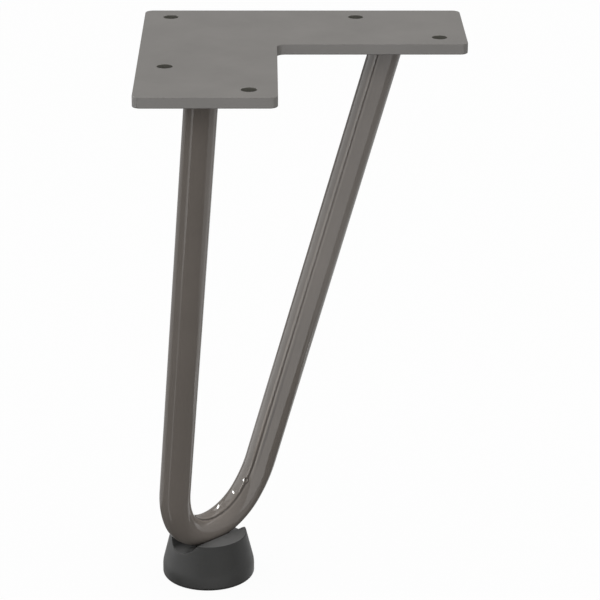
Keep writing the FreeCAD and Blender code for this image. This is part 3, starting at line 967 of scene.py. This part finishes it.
half_arm = -plate_low.x
outline = flat_curve("plate_outline", rounded_corners([
    Vector((-half_arm, plate_low.y, 0)),
    Vector((half_arm, plate_low.y, 0)),
    Vector((half_arm, -half_arm, 0)),
    Vector((plate_high.x, -half_arm, 0)),
    Vector((plate_high.x, half_arm, 0)),
    Vector((-half_arm, half_arm, 0)),
], CORNER_RADIUS, CORNER_STEPS))
hole_line = half_arm - HOLE_INSET
hole_centres = [
    Vector((-hole_line, hole_line, 0)),
    Vector((-hole_line, hole_line - HOLE_PITCH, 0)),
    Vector((hole_line, plate_low.y + HOLE_INSET, 0)),
    Vector((HOLE_PITCH - hole_line, hole_line, 0)),
    Vector((plate_high.x - HOLE_INSET, -hole_line, 0)),
]
hole_places = mesh_object("hole_places", hole_centres)
print("arms", round(2 * half_arm / MM, 1), "mm wide,", len(hole_centres), "screw holes")

# %% The tree of the plate
HOLE_SIDES = 48


def build_plate_tree():
    """An outline with repeated holes, filled and extruded downwards."""
    inputs = [
        ("Outline", OBJECT, None), ("Hole places", OBJECT, None),
        ("Hole radius", FLOAT, HOLE_RADIUS), ("Thickness", FLOAT, -underside),
    ]
    tree, given, result = shape_tree("Drilled plate", inputs)
    hole = ring(tree, HOLE_SIDES, given["Hole radius"])
    places = shape_of(tree, given["Hole places"])
    holes = add(tree, "GeometryNodeInstanceOnPoints", {"Points": places, "Instance": hole}).outputs[0]
    real_holes = add(tree, "GeometryNodeRealizeInstances", {"Geometry": holes}).outputs[0]
    curves = joined(tree, shape_of(tree, given["Outline"]), real_holes)
    top = add(tree, "GeometryNodeFillCurve", {"Curve": curves}, mode="NGONS").outputs[0]
    drop = product(tree, given["Thickness"], -1.0)
    walls = add(tree, "GeometryNodeExtrudeMesh", {
        "Mesh": top, "Offset": add(tree, "ShaderNodeCombineXYZ", {"Z": drop}).outputs[0],
        "Offset Scale": 1.0, "Individual": False,
    }).outputs[0]
    both = {"Geometry": joined(tree, walls, top), "Distance": TOUCHING}
    finish_tree(tree, add(tree, "GeometryNodeMergeByDistance", both).outputs[0], given, result)
    return tree


PLATE_TREE = build_plate_tree()

# %% Fill, extrude and round the plate
RIM_RADIUS = 0.5 * MM
RIM_SEGMENTS = 4
RIM_ANGLE = math.radians(50)
FLAT_FACE_WEIGHT = 100

plate = grown("screw_plate", PLATE_TREE, {
    "Outline": outline, "Hole places": hole_places, "Hole radius": HOLE_RADIUS,
    "Thickness": -underside, "Finish": PLATE_PAINT,
})
bpy.data.objects.remove(outline)
bpy.data.objects.remove(hole_places)
tidy(plate.data)
plate.data.shade_smooth()
rims = plate.modifiers.new("rims", "BEVEL")
rims.width = RIM_RADIUS
rims.segments = RIM_SEGMENTS
rims.limit_method = "ANGLE"
rims.angle_limit = RIM_ANGLE
flatten = plate.modifiers.new("flat faces", "WEIGHTED_NORMAL")
flatten.weight = FLAT_FACE_WEIGHT
plate = flattened(plate, "screw_plate")
print("plate with rounded rims:", len(plate.data.polygons), "faces")

# %% Painted shade in the holes
hole_reach = HOLE_RADIUS + RIM_RADIUS / 4
plate.data.materials.clear()
plate.data.materials.append(PLATE_PAINT)
plate.data.materials.append(HOLE_SHADE_PAINT)
# Faces of the hole walls take the painted shade.
for face in plate.data.polygons:
    flat_centre = Vector((face.center.x, face.center.y, 0))
    nearest = min((flat_centre - hole).length for hole in hole_centres)
    face.material_index = int(nearest < hole_reach)
print("faces in the holes:", sum(face.material_index for face in plate.data.polygons))
fit(plate, "mounting_plate")

# %% [markdown]
# ## The weld beads
# Each end of the bar is welded all round to the plate's underside. A weld bead is a stack of small
# crescents, one for each step of the torch, and that is a rule along a path. The bar meets the
# plate at a slant, so the path is an ellipse. The tree sweeps a fillet profile round that ellipse as
# if the bar stood upright, raises the crescents along the normals, and then shears the bead the way
# the bar leans, which keeps it tight on the bar at every height.

# %% The weld's profile
WELD_LEG = 3.5 * MM
WELD_TOE = 0.5 * MM
WELD_INSIDE = -0.6 * MM
WELD_BULGE = 0.16
WELD_BULGE_DOWN = 0.6
WELD_STEPS = 12


def weld_profile():
    """Cross-section of the bead: a bulging face from the plate to the bar, closed inside the steel."""
    points = []
    for step in range(WELD_STEPS + 1):
        share = step / WELD_STEPS
        bulge = WELD_BULGE * math.sin(math.pi * share) * WELD_LEG
        out = WELD_LEG + (WELD_TOE - WELD_LEG) * share + bulge
        down = WELD_LEG * share + bulge * WELD_BULGE_DOWN * (1 - share)
        points.append(Vector((out, down, 0)))
    points.append(Vector((WELD_INSIDE, WELD_LEG, 0)))
    points.append(Vector((WELD_INSIDE, 0, 0)))
    return flat_curve("weld_profile", points)


# %% The weld's tree
RIPPLE_PITCH = 1.7 * MM
RIPPLE_HEIGHT = 0.22 * MM
RIPPLE_BOW = 0.6
RIPPLE_LEAST = 0.5
RIPPLE_WAVES_PER_MM = 0.35
BEAD_STEPS = 260
TORCH_TRAVEL = "torch_travel"


def build_weld_tree():
    """A rippled bead swept round an ellipse, sheared along the bar and set in place."""
    inputs = [
        ("Profile", OBJECT, None), ("Long half", FLOAT, BAR_RADIUS), ("Short half", FLOAT, BAR_RADIUS),
        ("Depth", FLOAT, WELD_LEG), ("Lean", FLOAT, 0.3), ("Pitch", FLOAT, RIPPLE_PITCH),
        ("Ripple", FLOAT, RIPPLE_HEIGHT), ("Turn", VECTOR, (0, 0, 0)), ("Place", VECTOR, (0, 0, 0)),
    ]
    tree, given, result = shape_tree("Weld bead", inputs)
    halves = {"X": given["Long half"], "Y": given["Short half"], "Z": 1.0}
    size = add(tree, "ShaderNodeCombineXYZ", halves).outputs[0]
    circle = ring(tree, BEAD_STEPS, 1.0)
    ellipse = add(tree, "GeometryNodeTransform", {"Geometry": circle, "Scale": size}).outputs[0]
    along = add(tree, "GeometryNodeSplineParameter").outputs["Length"]
    marked = add(tree, "GeometryNodeStoreNamedAttribute", {
        "Geometry": ellipse, "Name": TORCH_TRAVEL, "Value": along,
    }, data_type="FLOAT", domain="POINT").outputs[0]
    bead = swept(tree, marked, shape_of(tree, given["Profile"]))

    stored = {"Name": TORCH_TRAVEL}
    travel = add(tree, "GeometryNodeInputNamedAttribute", stored, data_type="FLOAT").outputs[0]
    place = add(tree, "GeometryNodeInputPosition").outputs[0]
    depth = product(tree, add(tree, "ShaderNodeSeparateXYZ", {0: place}).outputs["Z"], -1.0)
    share = math_on(tree, "DIVIDE", depth, given["Depth"])
    bow = math_on(tree, "SINE", product(tree, share, math.pi))
    steps = math_on(tree, "DIVIDE", travel, given["Pitch"])
    phase = math_on(tree, "ADD", steps, product(tree, bow, RIPPLE_BOW))
    crest = math_on(tree, "ABSOLUTE", math_on(tree, "SINE", product(tree, phase, math.pi)))
    wander = noise(tree, place, RIPPLE_WAVES_PER_MM * PER_MM, detail=1.0)
    uneven = math_on(tree, "ADD", wander, RIPPLE_LEAST)
    normal = add(tree, "GeometryNodeInputNormal").outputs[0]
    rippled = moved(tree, bead, scaled(tree, normal, product(tree, crest, bow, given["Ripple"], uneven)))

    slide = product(tree, depth, given["Lean"])
    leaning = moved(tree, rippled, add(tree, "ShaderNodeCombineXYZ", {"X": slide}).outputs[0])
    set_down = add(tree, "GeometryNodeTransform", {
        "Geometry": leaning, "Translation": given["Place"], "Rotation": given["Turn"],
    }).outputs[0]
    finish_tree(tree, set_down, given, result)
    return tree


WELD_TREE = build_weld_tree()

# %% Both beads
profile = weld_profile()
for side, label in ((-1, "left"), (1, "right")):
    flat_lean = downward * math.cos(leg_angle) - across * side * math.sin(leg_angle)
    tilt = math.acos(-flat_lean.z)
    bar_end = hairpin_top + across * side * BAR_SPACING / 2
    bead = grown("weld_bead_" + label + "_skin", WELD_TREE, {
        "Profile": profile, "Finish": WELD_PAINT, "Long half": BAR_RADIUS / math.cos(tilt),
        "Short half": BAR_RADIUS, "Depth": WELD_LEG, "Lean": math.tan(tilt), "Pitch": RIPPLE_PITCH,
        "Ripple": RIPPLE_HEIGHT, "Turn": (0, 0, math.atan2(flat_lean.y, flat_lean.x)),
        "Place": tuple(bar_end),
    })
    tidy(bead.data)
    shade(bead, sharp_angle=60)
    fit(bead, "weld_bead_" + label)
bpy.data.objects.remove(profile)

# %% [markdown]
# ## The moulded foot
# The foot is a turned shape with a round channel across its top, in which the bend sits, and a
# counterbore for the screw below. Booleans would leave ragged rims. Instead the foot is drawn
# as one section for each angle round its axis: every section has the same number of points, so the
# sections join into clean quads. The channel changes the section with the angle, and its rim is
# rolled over by a small radius, where a ball that is pressed into the corner from inside
# touches the channel, the flat top and the cone.

# %% Sizes of the foot
CHANNEL_RADIUS = 8 * MM
TOP_RADIUS = 15.25 * MM
BAND_HEIGHT = 5.5 * MM
BLEND_RADIUS = 12 * MM
FLOOR_RADIUS = 1.5 * MM
SOFT_RIM = 0.35 * MM
SCREW_HOLE_RADIUS = 2.75 * MM
COUNTERBORE_RADIUS = 5.75 * MM
COUNTERBORE_DEPTH = 7 * MM

base_radius = (foot_high.x - foot_low.x) / 2
foot_height = foot_high.z - foot_low.z
cone_lean = math.atan((base_radius - TOP_RADIUS) / (foot_height - BAND_HEIGHT))
channel_centre = SEAT_HEIGHT + CHANNEL_RADIUS
channel_half_width = math.sqrt(CHANNEL_RADIUS ** 2 - (channel_centre - foot_height) ** 2)
corner_angle = math.asin(channel_half_width / TOP_RADIUS)
print("channel", round(2 * channel_half_width / MM, 2), "mm wide at the top of the foot")

# %% Where the channel leaves the foot
HALVINGS = 40


def meeting(first_normal, first_level, second_normal, second_level):
    """Where two lines of the section cross; a line is a normal and its distance from the corner."""
    across_both = first_normal.x * second_normal.y - first_normal.y * second_normal.x
    x = (first_level * second_normal.y - second_level * first_normal.y) / across_both
    y = (first_normal.x * second_level - second_normal.x * first_level) / across_both
    return Vector((x, y))


def channel_height(radius, slant):
    """Height of the channel's surface at a radius, on a section whose sine is slant."""
    return channel_centre - math.sqrt(CHANNEL_RADIUS ** 2 - (radius * slant) ** 2)


def rim_radius(slant):
    """Radius at which the channel leaves the foot, on the flat top or through the cone."""
    if slant * TOP_RADIUS > channel_half_width:
        return channel_half_width / slant
    low, high = TOP_RADIUS, base_radius
    for _ in range(HALVINGS):
        middle = (low + high) / 2
        cone_height = foot_height - (middle - TOP_RADIUS) / math.tan(cone_lean)
        if channel_height(middle, slant) < cone_height:
            low = middle
        else:
            high = middle
    return low


print("channel leaves the cone at radius", round(rim_radius(0) / MM, 2), "mm")

# %% The channel and its rolled rim
CHANNEL_STEPS = 18
RIM_POINTS = 5


def arc(centre, radius, start, end, count):
    """Points on an arc in the section, angles in radians from outwards, ends included."""
    points = []
    for step in range(count):
        angle = start + (end - start) * step / (count - 1)
        points.append(centre + turned(angle) * radius)
    return points


def channel_and_rim(slant, cone_normal):
    """Points of the section from the screw hole along the channel and over its rolled rim."""
    rim = rim_radius(slant)
    height = channel_height(rim, slant)
    slope = rim * slant ** 2 / (channel_centre - height)
    channel_normal = Vector((-slope, 1)).normalized()
    up = Vector((0, 1))
    channel_level = channel_normal.dot(Vector((rim, height))) - SOFT_RIM
    cone_level = cone_normal.dot(Vector((TOP_RADIUS, foot_height))) - SOFT_RIM
    top_level = foot_height - SOFT_RIM
    first = meeting(channel_normal, channel_level, cone_normal, cone_level)
    second = first
    if first.y > top_level:
        first = meeting(channel_normal, channel_level, up, top_level)
        second = meeting(up, top_level, cone_normal, cone_level)
    channel_end = (first + channel_normal * SOFT_RIM).x
    points = []
    for step in range(CHANNEL_STEPS):
        radius = SCREW_HOLE_RADIUS + (channel_end - SCREW_HOLE_RADIUS) * step / CHANNEL_STEPS
        points.append(Vector((radius, channel_height(radius, slant))))
    points += arc(first, SOFT_RIM, math.atan2(channel_normal.y, channel_normal.x), QUARTER, RIM_POINTS)
    points += arc(second, SOFT_RIM, QUARTER, cone_lean, RIM_POINTS)
    return points


# %% One section of the foot
CONE_STEPS = 10
BLEND_POINTS = 7
FLOOR_POINTS = 8
BORE_RIM_POINTS = 4


def foot_section(slant):
    """Points of the section from the screw hole over the rim, down the side and back underneath."""
    cone_normal = turned(cone_lean)
    points = channel_and_rim(slant, cone_normal)
    blend_tangent = BLEND_RADIUS * math.tan(cone_lean / 2)
    blend_centre = Vector((base_radius - BLEND_RADIUS, BAND_HEIGHT - blend_tangent))
    cone_start = points[-1]
    cone_end = blend_centre + cone_normal * BLEND_RADIUS
    for step in range(1, CONE_STEPS):
        points.append(cone_start.lerp(cone_end, step / CONE_STEPS))
    points += arc(blend_centre, BLEND_RADIUS, cone_lean, 0, BLEND_POINTS)
    floor_centre = Vector((base_radius - FLOOR_RADIUS, FLOOR_RADIUS))
    points += arc(floor_centre, FLOOR_RADIUS, 0, -QUARTER, FLOOR_POINTS)
    points.append(Vector(((base_radius + COUNTERBORE_RADIUS) / 2, 0)))
    bore_rim = Vector((COUNTERBORE_RADIUS + SOFT_RIM, SOFT_RIM))
    points += arc(bore_rim, SOFT_RIM, -QUARTER, -math.pi, BORE_RIM_POINTS)
    points.append(Vector((COUNTERBORE_RADIUS, COUNTERBORE_DEPTH / 2)))
    points.append(Vector((COUNTERBORE_RADIUS, COUNTERBORE_DEPTH)))
    points.append(Vector((SCREW_HOLE_RADIUS, COUNTERBORE_DEPTH)))
    points.append(Vector((SCREW_HOLE_RADIUS, (COUNTERBORE_DEPTH + SEAT_HEIGHT) / 2)))
    return points


print("points in a section of the foot:", len(foot_section(0)))

# %% Join the sections into the foot
CHANNEL_ANGLES = 14
SIDE_ANGLES = 30


def foot_angles():
    """Angles round the foot in a quarter pattern, with one exactly at each corner of the channel."""
    side_angle = QUARTER - corner_angle
    quarter = [corner_angle * step / CHANNEL_ANGLES for step in range(CHANNEL_ANGLES)]
    quarter += [corner_angle + side_angle * step / SIDE_ANGLES for step in range(SIDE_ANGLES + 1)]
    half = quarter + [math.pi - angle for angle in reversed(quarter[1:-1])]
    return half + [math.pi + angle for angle in half]


def from_sections(name, first_axis, base, angles, section_at, closed=True):
    """A piece round the foot's axis, drawn as one section for each angle from first_axis."""
    second_axis = Vector((-first_axis.y, first_axis.x, 0))
    points = []
    for angle in angles:
        outward = first_axis * math.cos(angle) + second_axis * math.sin(angle)
        section = section_at(angle)
        for flat in section:
            points.append(Vector((foot_axis.x, foot_axis.y, base + flat.y)) + outward * flat.x)
    made = mesh_object(name, points, grid_faces(len(angles), len(section), closed_columns=closed))
    tidy(made.data)
    return made


def section_at_angle(angle):
    """The foot's section at an angle from the channel's direction."""
    return foot_section(abs(math.sin(angle)))


foot = from_sections("saddle_foot", across, foot_low.z, foot_angles(), section_at_angle)
foot.data.materials.append(FOOT_PLASTIC)
shade(foot, sharp_angle=35)
fit(foot, "foot")

# %% [markdown]
# ## The screw in the foot
# Only the head shows, deep in the counterbore. It is a cap screw with a hexagon socket. The socket is
# round in no section, so the screw is drawn like the foot: one section for each angle, with the
# socket's wall moving in and out as the hexagon turns. The thread is a small triangle that Geometry
# Nodes wind up the core as a helix.

# %% Head and core of the screw
SHANK_RADIUS = 2.5 * MM
THREAD_DEPTH = 0.45 * MM
HEAD_HEIGHT = 2.8 * MM
HEAD_ROUND = 0.7 * MM
HEAD_POINTS = 6
SOCKET_HALF_WIDTH = 1.5 * MM
SOCKET_DEPTH = 1.8 * MM
SOCKET_CONE = 0.4 * MM
SOCKET_RIM = 0.2 * MM
SOCKET_SIDE_ANGLE = math.pi / 3
TIP_LENGTH = 0.8 * MM
TIP_INSET = 0.6 * MM
SCREW_COLUMNS = 72

head_radius = (screw_high.x - screw_low.x) / 2
screw_length = screw_high.z - screw_low.z
core_radius = SHANK_RADIUS - THREAD_DEPTH


def screw_section(angle):
    """Points from the middle of the socket's floor round the head and up the core, head face at zero."""
    half_side = SOCKET_SIDE_ANGLE / 2
    from_flat = (angle + half_side) % SOCKET_SIDE_ANGLE - half_side
    wall = SOCKET_HALF_WIDTH / math.cos(from_flat)
    head_centre = Vector((head_radius - HEAD_ROUND, HEAD_ROUND))
    return [
        Vector((0, SOCKET_DEPTH + SOCKET_CONE)),
        Vector((wall, SOCKET_DEPTH)),
        Vector((wall, SOCKET_RIM)),
        Vector((wall + SOCKET_RIM, 0)),
        Vector((head_radius - HEAD_ROUND, 0)),
        *arc(head_centre, HEAD_ROUND, -QUARTER, 0, HEAD_POINTS),
        Vector((head_radius, HEAD_HEIGHT)),
        Vector((core_radius, HEAD_HEIGHT)),
        Vector((core_radius, screw_length - TIP_LENGTH)),
        Vector((core_radius - TIP_INSET, screw_length)),
        Vector((0, screw_length)),
    ]


screw_angles = [math.tau * column / SCREW_COLUMNS for column in range(SCREW_COLUMNS)]
screw = from_sections(
    "socket_screw_core", Vector((1, 0, 0)), screw_low.z, screw_angles, screw_section, closed=False,
)
print("screw", round(screw_length / MM, 2), "mm long, core", round(2 * core_radius / MM, 2), "mm thick")

# %% The thread
THREAD_PITCH = 0.8 * MM
THREAD_START = 1.2 * MM
THREAD_LENGTH = 12.4 * MM
THREAD_SIDES = 3
TURN_STEPS = 40


def build_thread_tree():
    """A triangle wound up a core as a helix and joined to it."""
    inputs = [
        ("Core", FLOAT, core_radius), ("Depth", FLOAT, THREAD_DEPTH), ("Pitch", FLOAT, THREAD_PITCH),
        ("Length", FLOAT, THREAD_LENGTH), ("Place", VECTOR, (0, 0, 0)),
    ]
    tree, given, result = shape_tree("Screw thread", inputs)
    helix = add(tree, "GeometryNodeCurveSpiral", {
        "Resolution": TURN_STEPS, "Rotations": math_on(tree, "DIVIDE", given["Length"], given["Pitch"]),
        "Start Radius": given["Core"], "End Radius": given["Core"], "Height": given["Length"],
    }).outputs[0]
    ridge = swept(tree, helix, ring(tree, THREAD_SIDES, given["Depth"]), **{"Fill Caps": True})
    raised = add(tree, "GeometryNodeTransform", {"Geometry": ridge, "Translation": given["Place"]}).outputs[0]
    finish_tree(tree, joined(tree, raised, given["Geometry"]), given, result)
    return tree


screw = grown("socket_screw", build_thread_tree(), {
    "Core": core_radius, "Depth": THREAD_DEPTH, "Pitch": THREAD_PITCH, "Length": THREAD_LENGTH,
    "Place": (foot_axis.x, foot_axis.y, screw_low.z + HEAD_HEIGHT + THREAD_START), "Finish": SCREW_ZINC,
}, base=screw)
shade(screw, sharp_angle=35)
fit(screw, "foot_screw")

# %% [markdown]
# ## The camera
# The picture was taken with a long lens from in front and above, so parallel edges stay nearly
# parallel. The camera's place and turn are written in the leg's own frame. The picture is square, and
# the lens is given by how many pixels of its 600 one unit of slope covers.

# %% Camera
PICTURE_PIXELS = 600
PIXELS_PER_SLOPE = 2656.35
CAMERA_PLACE = Vector((20.06, -966.13, 251.60)) * MM
PITCH = math.radians(20.466)
YAW = math.radians(0.831)
ROLL = math.radians(0.212)
SENSOR_WIDTH = 36
NEAREST_SEEN = 10 * MM

forward = Vector((math.sin(YAW) * math.cos(PITCH), math.cos(YAW) * math.cos(PITCH), -math.sin(PITCH)))
level_right = Vector((math.cos(YAW), -math.sin(YAW), 0))
level_up = level_right.cross(forward)
right = level_right * math.cos(ROLL) + level_up * math.sin(ROLL)
up = level_up * math.cos(ROLL) - level_right * math.sin(ROLL)
camera_data = bpy.data.cameras.new("camera")
camera_data.sensor_width = SENSOR_WIDTH
camera_data.lens = PIXELS_PER_SLOPE / PICTURE_PIXELS * SENSOR_WIDTH
camera_data.clip_start = NEAREST_SEEN
camera = new_object("camera", camera_data)
camera.matrix_world = Matrix((
    (right.x, up.x, -forward.x, CAMERA_PLACE.x),
    (right.y, up.y, -forward.y, CAMERA_PLACE.y),
    (right.z, up.z, -forward.z, CAMERA_PLACE.z),
    (0, 0, 0, 1),
))
scene.camera = camera
scene.view_settings.view_transform = "Standard"
print("lens", round(camera_data.lens, 1), "mm")

# %% [markdown]
# ## Floor and room
# The leg stands on a pale floor in an even white room. The camera sees floor and world as plain white,
# but part of the floor's colour is real light, so it takes the leg's shadow. Reflections look through
# the floor at the room itself, which is white down to well below the horizon and dark underneath, as
# over a table with a dark well. That dark part is what the glossy bar mirrors in the long band
# down its front. The floor is also clear from below, so that the underside can be looked at.

# %% Floor
WHITE = (1, 1, 1, 1)
FLOOR_WHITE_SHARE = 0.95
FLOOR_TONE = (0.8, 0.8, 0.8, 1)
FLOOR_BOUNCE = (0.22, 0.22, 0.22, 1)
FLOOR_HALF = 4.0


def floor_material():
    """Pale floor: white with the leg's shadow to the camera, clear in reflections and from below."""
    material, tree, shader = new_material("pale floor")
    light_path = add(tree, "ShaderNodeLightPath").outputs
    feed(tree, shader, {
        "Base Color": blended(tree, light_path["Is Camera Ray"], FLOOR_BOUNCE, FLOOR_TONE),
        "Roughness": 0.9,
        "Specular IOR Level": 0.0,
    })
    glow = add(tree, "ShaderNodeEmission", {"Color": WHITE, "Strength": 1.0}).outputs[0]
    eyes = math_on(tree, "MAXIMUM", light_path["Is Camera Ray"], light_path["Is Transmission Ray"])
    share = product(tree, eyes, FLOOR_WHITE_SHARE)
    pale = add(tree, "ShaderNodeMixShader", {0: share, 1: shader.outputs[0], 2: glow}).outputs[0]
    below = add(tree, "ShaderNodeNewGeometry").outputs["Backfacing"]
    see_through = math_on(tree, "MAXIMUM", below, light_path["Is Glossy Ray"])
    clear = add(tree, "ShaderNodeBsdfTransparent").outputs[0]
    one_sided = add(tree, "ShaderNodeMixShader", {0: see_through, 1: pale, 2: clear}).outputs[0]
    tree.links.new(one_sided, tree.nodes["Material Output"].inputs["Surface"])
    return material


floor_corners = [(-1, -1), (1, -1), (1, 1), (-1, 1)]
floor_points = [(FLOOR_HALF * x, FLOOR_HALF * y, floor_height) for x, y in floor_corners]
floor = mesh_object("floor", floor_points, [(0, 1, 2, 3)])
floor.data.materials.append(floor_material())
print("floor at", round(floor_height / MM, 2), "mm")

# %% World
ROOM_LIGHT = 0.74
WELL_DEPTH = -0.62
WELL_EDGE = 0.03


def set_world(strength):
    """White to the camera and in reflections, with the dark well below, and dim to everything else."""
    world = bpy.data.worlds.new("white room")
    world.use_nodes = True
    scene.world = world
    tree = world.node_tree
    tree.nodes.clear()
    light_path = add(tree, "ShaderNodeLightPath").outputs
    direction = add(tree, "ShaderNodeTexCoord").outputs["Generated"]
    height = add(tree, "ShaderNodeSeparateXYZ", {0: direction}).outputs["Z"]
    above = ranged(tree, height, (WELL_DEPTH - WELL_EDGE, WELL_DEPTH + WELL_EDGE), OFF_TO_ON)
    seen = math_on(tree, "MAXIMUM", light_path["Is Camera Ray"], light_path["Is Transmission Ray"])
    mirrored = product(tree, light_path["Is Glossy Ray"], above)
    white_share = math_on(tree, "MAXIMUM", seen, mirrored)
    plain_strength = product(tree, math_on(tree, "SUBTRACT", 1.0, light_path["Is Glossy Ray"]), strength)
    plain = add(tree, "ShaderNodeBackground", {"Color": WHITE, "Strength": plain_strength}).outputs[0]
    white = add(tree, "ShaderNodeBackground", {"Color": WHITE, "Strength": 1.0}).outputs[0]
    mix = add(tree, "ShaderNodeMixShader", {0: white_share, 1: plain, 2: white}).outputs[0]
    add(tree, "ShaderNodeOutputWorld", {"Surface": mix})


set_world(ROOM_LIGHT)
print("world:", scene.world.name)

# %% [markdown]
# ## Lamps
# Soft light comes from three large rectangles: one overhead, one behind and one in front. They light
# the colour of the paint and cast the soft shadow on the floor. A round bar would show each of them as
# a line along its length, so they are hidden from reflections, and cards shape those lines instead.

# %% Lamps
LEG_MIDDLE = (0.02, 0.0, -0.1)


def soft_lamp(name, place, width, height, power):
    """A rectangular area lamp in metres and watts that faces the middle of the leg."""
    lamp = bpy.data.lights.new(name, "AREA")
    lamp.shape = "RECTANGLE"
    lamp.size = width
    lamp.size_y = height
    lamp.energy = power
    made = new_object(name, lamp)
    made.location = place
    made.rotation_euler = (Vector(LEG_MIDDLE) - Vector(place)).to_track_quat("-Z", "Y").to_euler()
    made.visible_glossy = False
    print(name, "of", power, "W")


soft_lamp("top softbox", place=(0.0, -0.3, 1.6), width=1.6, height=1.6, power=6.5)
soft_lamp("back softbox", place=(0.1, 1.5, 1.5), width=1.4, height=0.9, power=2.5)
soft_lamp("front softbox", place=(-0.2, -1.8, 0.9), width=1.4, height=0.9, power=6.5)

# %% [markdown]
# ## Reflection cards
# A glossy bar is seen by what it mirrors, so a photographer sets white, grey and black cards round it.
# These are plain glowing faces that only reflections can see, and they add no light of their own to
# the paint. The upright cards give the bar its broad light and dark bands. A flat card is nearest at
# its middle and looks taller there, so the wide ones were set by trying. The strips run from below the
# horizon up and over the top and make long highlights. A black tape hangs a little nearer than the
# strips and cuts a dark line into them, and two small cards nearer still add a glint and a thin line.

# %% What every card is
def reflection_card(name, points, faces, strength):
    """A card that only reflections see, white at 1 and black at 0."""
    card = mesh_object(name, points, faces)
    material, tree, _ = new_material(name)
    glow = add(tree, "ShaderNodeEmission", {"Color": WHITE, "Strength": strength}).outputs[0]
    tree.links.new(glow, tree.nodes["Material Output"].inputs["Surface"])
    card.data.materials.append(material)
    for kind in ("camera", "diffuse", "transmission", "shadow", "volume_scatter"):
        setattr(card, "visible_" + kind, False)
    print(name, "with", len(faces), "faces of strength", strength)


# %% Upright cards
CARD_DISTANCE = 2.0
NEAR_DISTANCE = 1.0


def upright_card(name, start, end, low, high, strength, distance=CARD_DISTANCE):
    """An upright card between two azimuths, from +Y towards +X, and two elevations, in degrees."""
    points = []
    for azimuth, elevation in ((start, low), (end, low), (end, high), (start, high)):
        angle = math.radians(azimuth)
        height = distance * math.tan(math.radians(elevation))
        points.append((distance * math.sin(angle), distance * math.cos(angle), height))
    reflection_card(name, points, [(0, 1, 2, 3)], strength)


for name, start, end, low, high, strength in (
    ("left card", -118, -50, -18, 45, 3.1),
    ("left rim card", -70, -15, -35, -18, 0.8),
    ("left front low card", -110, -70, -35, -18, 0.17),
    ("left low card", -110, -15, -50, -28, 0.17),
    ("front card", -215, -146, -36, -10, 2.9),
    ("front side card", -236, -180, -42, -10, 2.9),
    ("back grey card", -48, 60, -14, 62, 0.45),
    ("right front low card", 65, 124, -38.5, -20, 0.94),
    ("right edge card", 62, 92, -40, -38, 3.0),
    ("right low card", 40, 100, -50, -36, 0.1),
    ("right card", 15, 64, -36, -15, 1.25),
):
    upright_card(name, start, end, low, high, strength)
upright_card("glint card", -40, -12, 22, 52, 4.0, NEAR_DISTANCE)
upright_card("left line card", -128, -116, -42, -33, 2.3, NEAR_DISTANCE)

# %% Overhead strips
STRIP_AZIMUTH = -130
STRIP_STEP = 10
TAPE_DISTANCE = 1.9


def overhead_strip(name, stations, strength, distance=CARD_DISTANCE):
    """A strip that runs up in the plane of STRIP_AZIMUTH and on over the top.

    A station is degrees of rise and the two sides there, in degrees to the side of that plane."""
    plane = math.radians(STRIP_AZIMUTH)
    ahead = Vector((math.sin(plane), math.cos(plane), 0))
    aside = Vector((math.cos(plane), -math.sin(plane), 0))
    rows = [stations[0]]
    for first, second in zip(stations, stations[1:]):
        steps = math.ceil((second[0] - first[0]) / STRIP_STEP)
        for step in range(1, steps + 1):
            rows.append([start + (end - start) * step / steps for start, end in zip(first, second)])
    points = []
    for rise, *sides in rows:
        middle = ahead * math.cos(math.radians(rise)) + Vector((0, 0, math.sin(math.radians(rise))))
        for side in sides:
            offset = math.radians(side)
            points.append((middle * math.cos(offset) + aside * math.sin(offset)) * distance)
    faces = grid_faces(len(rows), 2, closed_rows=False, closed_columns=False)
    reflection_card(name, points, faces, strength)


overhead_strip("low bright strip", [(-70, 4, 11), (-20, 4, 11)], 1.24)
overhead_strip("bright strip", [(-20, 4.5, 11), (27, 4.5, 11)], 6.1)
overhead_strip("second strip", [(-36, -13, -5), (27, -13, -5)], 4.35)
overhead_strip("near side overhead", [(27, -20, 0), (150, -20, 6), (180, -10, 20)], 2.5)
overhead_strip("far side overhead", [(27, 0, 20), (150, 6, 26), (180, 20, 40)], 2.5)
overhead_strip("black tape", [
    (-70, -4, 4), (40, -4, 4), (60, -9, 0), (75, -7, 3), (88, -3, 5), (98, -1, 6), (115, -7, 3), (125, -5, 2),
    (140, -1, 8), (150, 3, 10), (160, 5, 14), (170, 9, 17), (180, 14, 26), (192, 20, 34), (205, 32, 44),
    (215, 40, 50),
], 0.0, TAPE_DISTANCE)
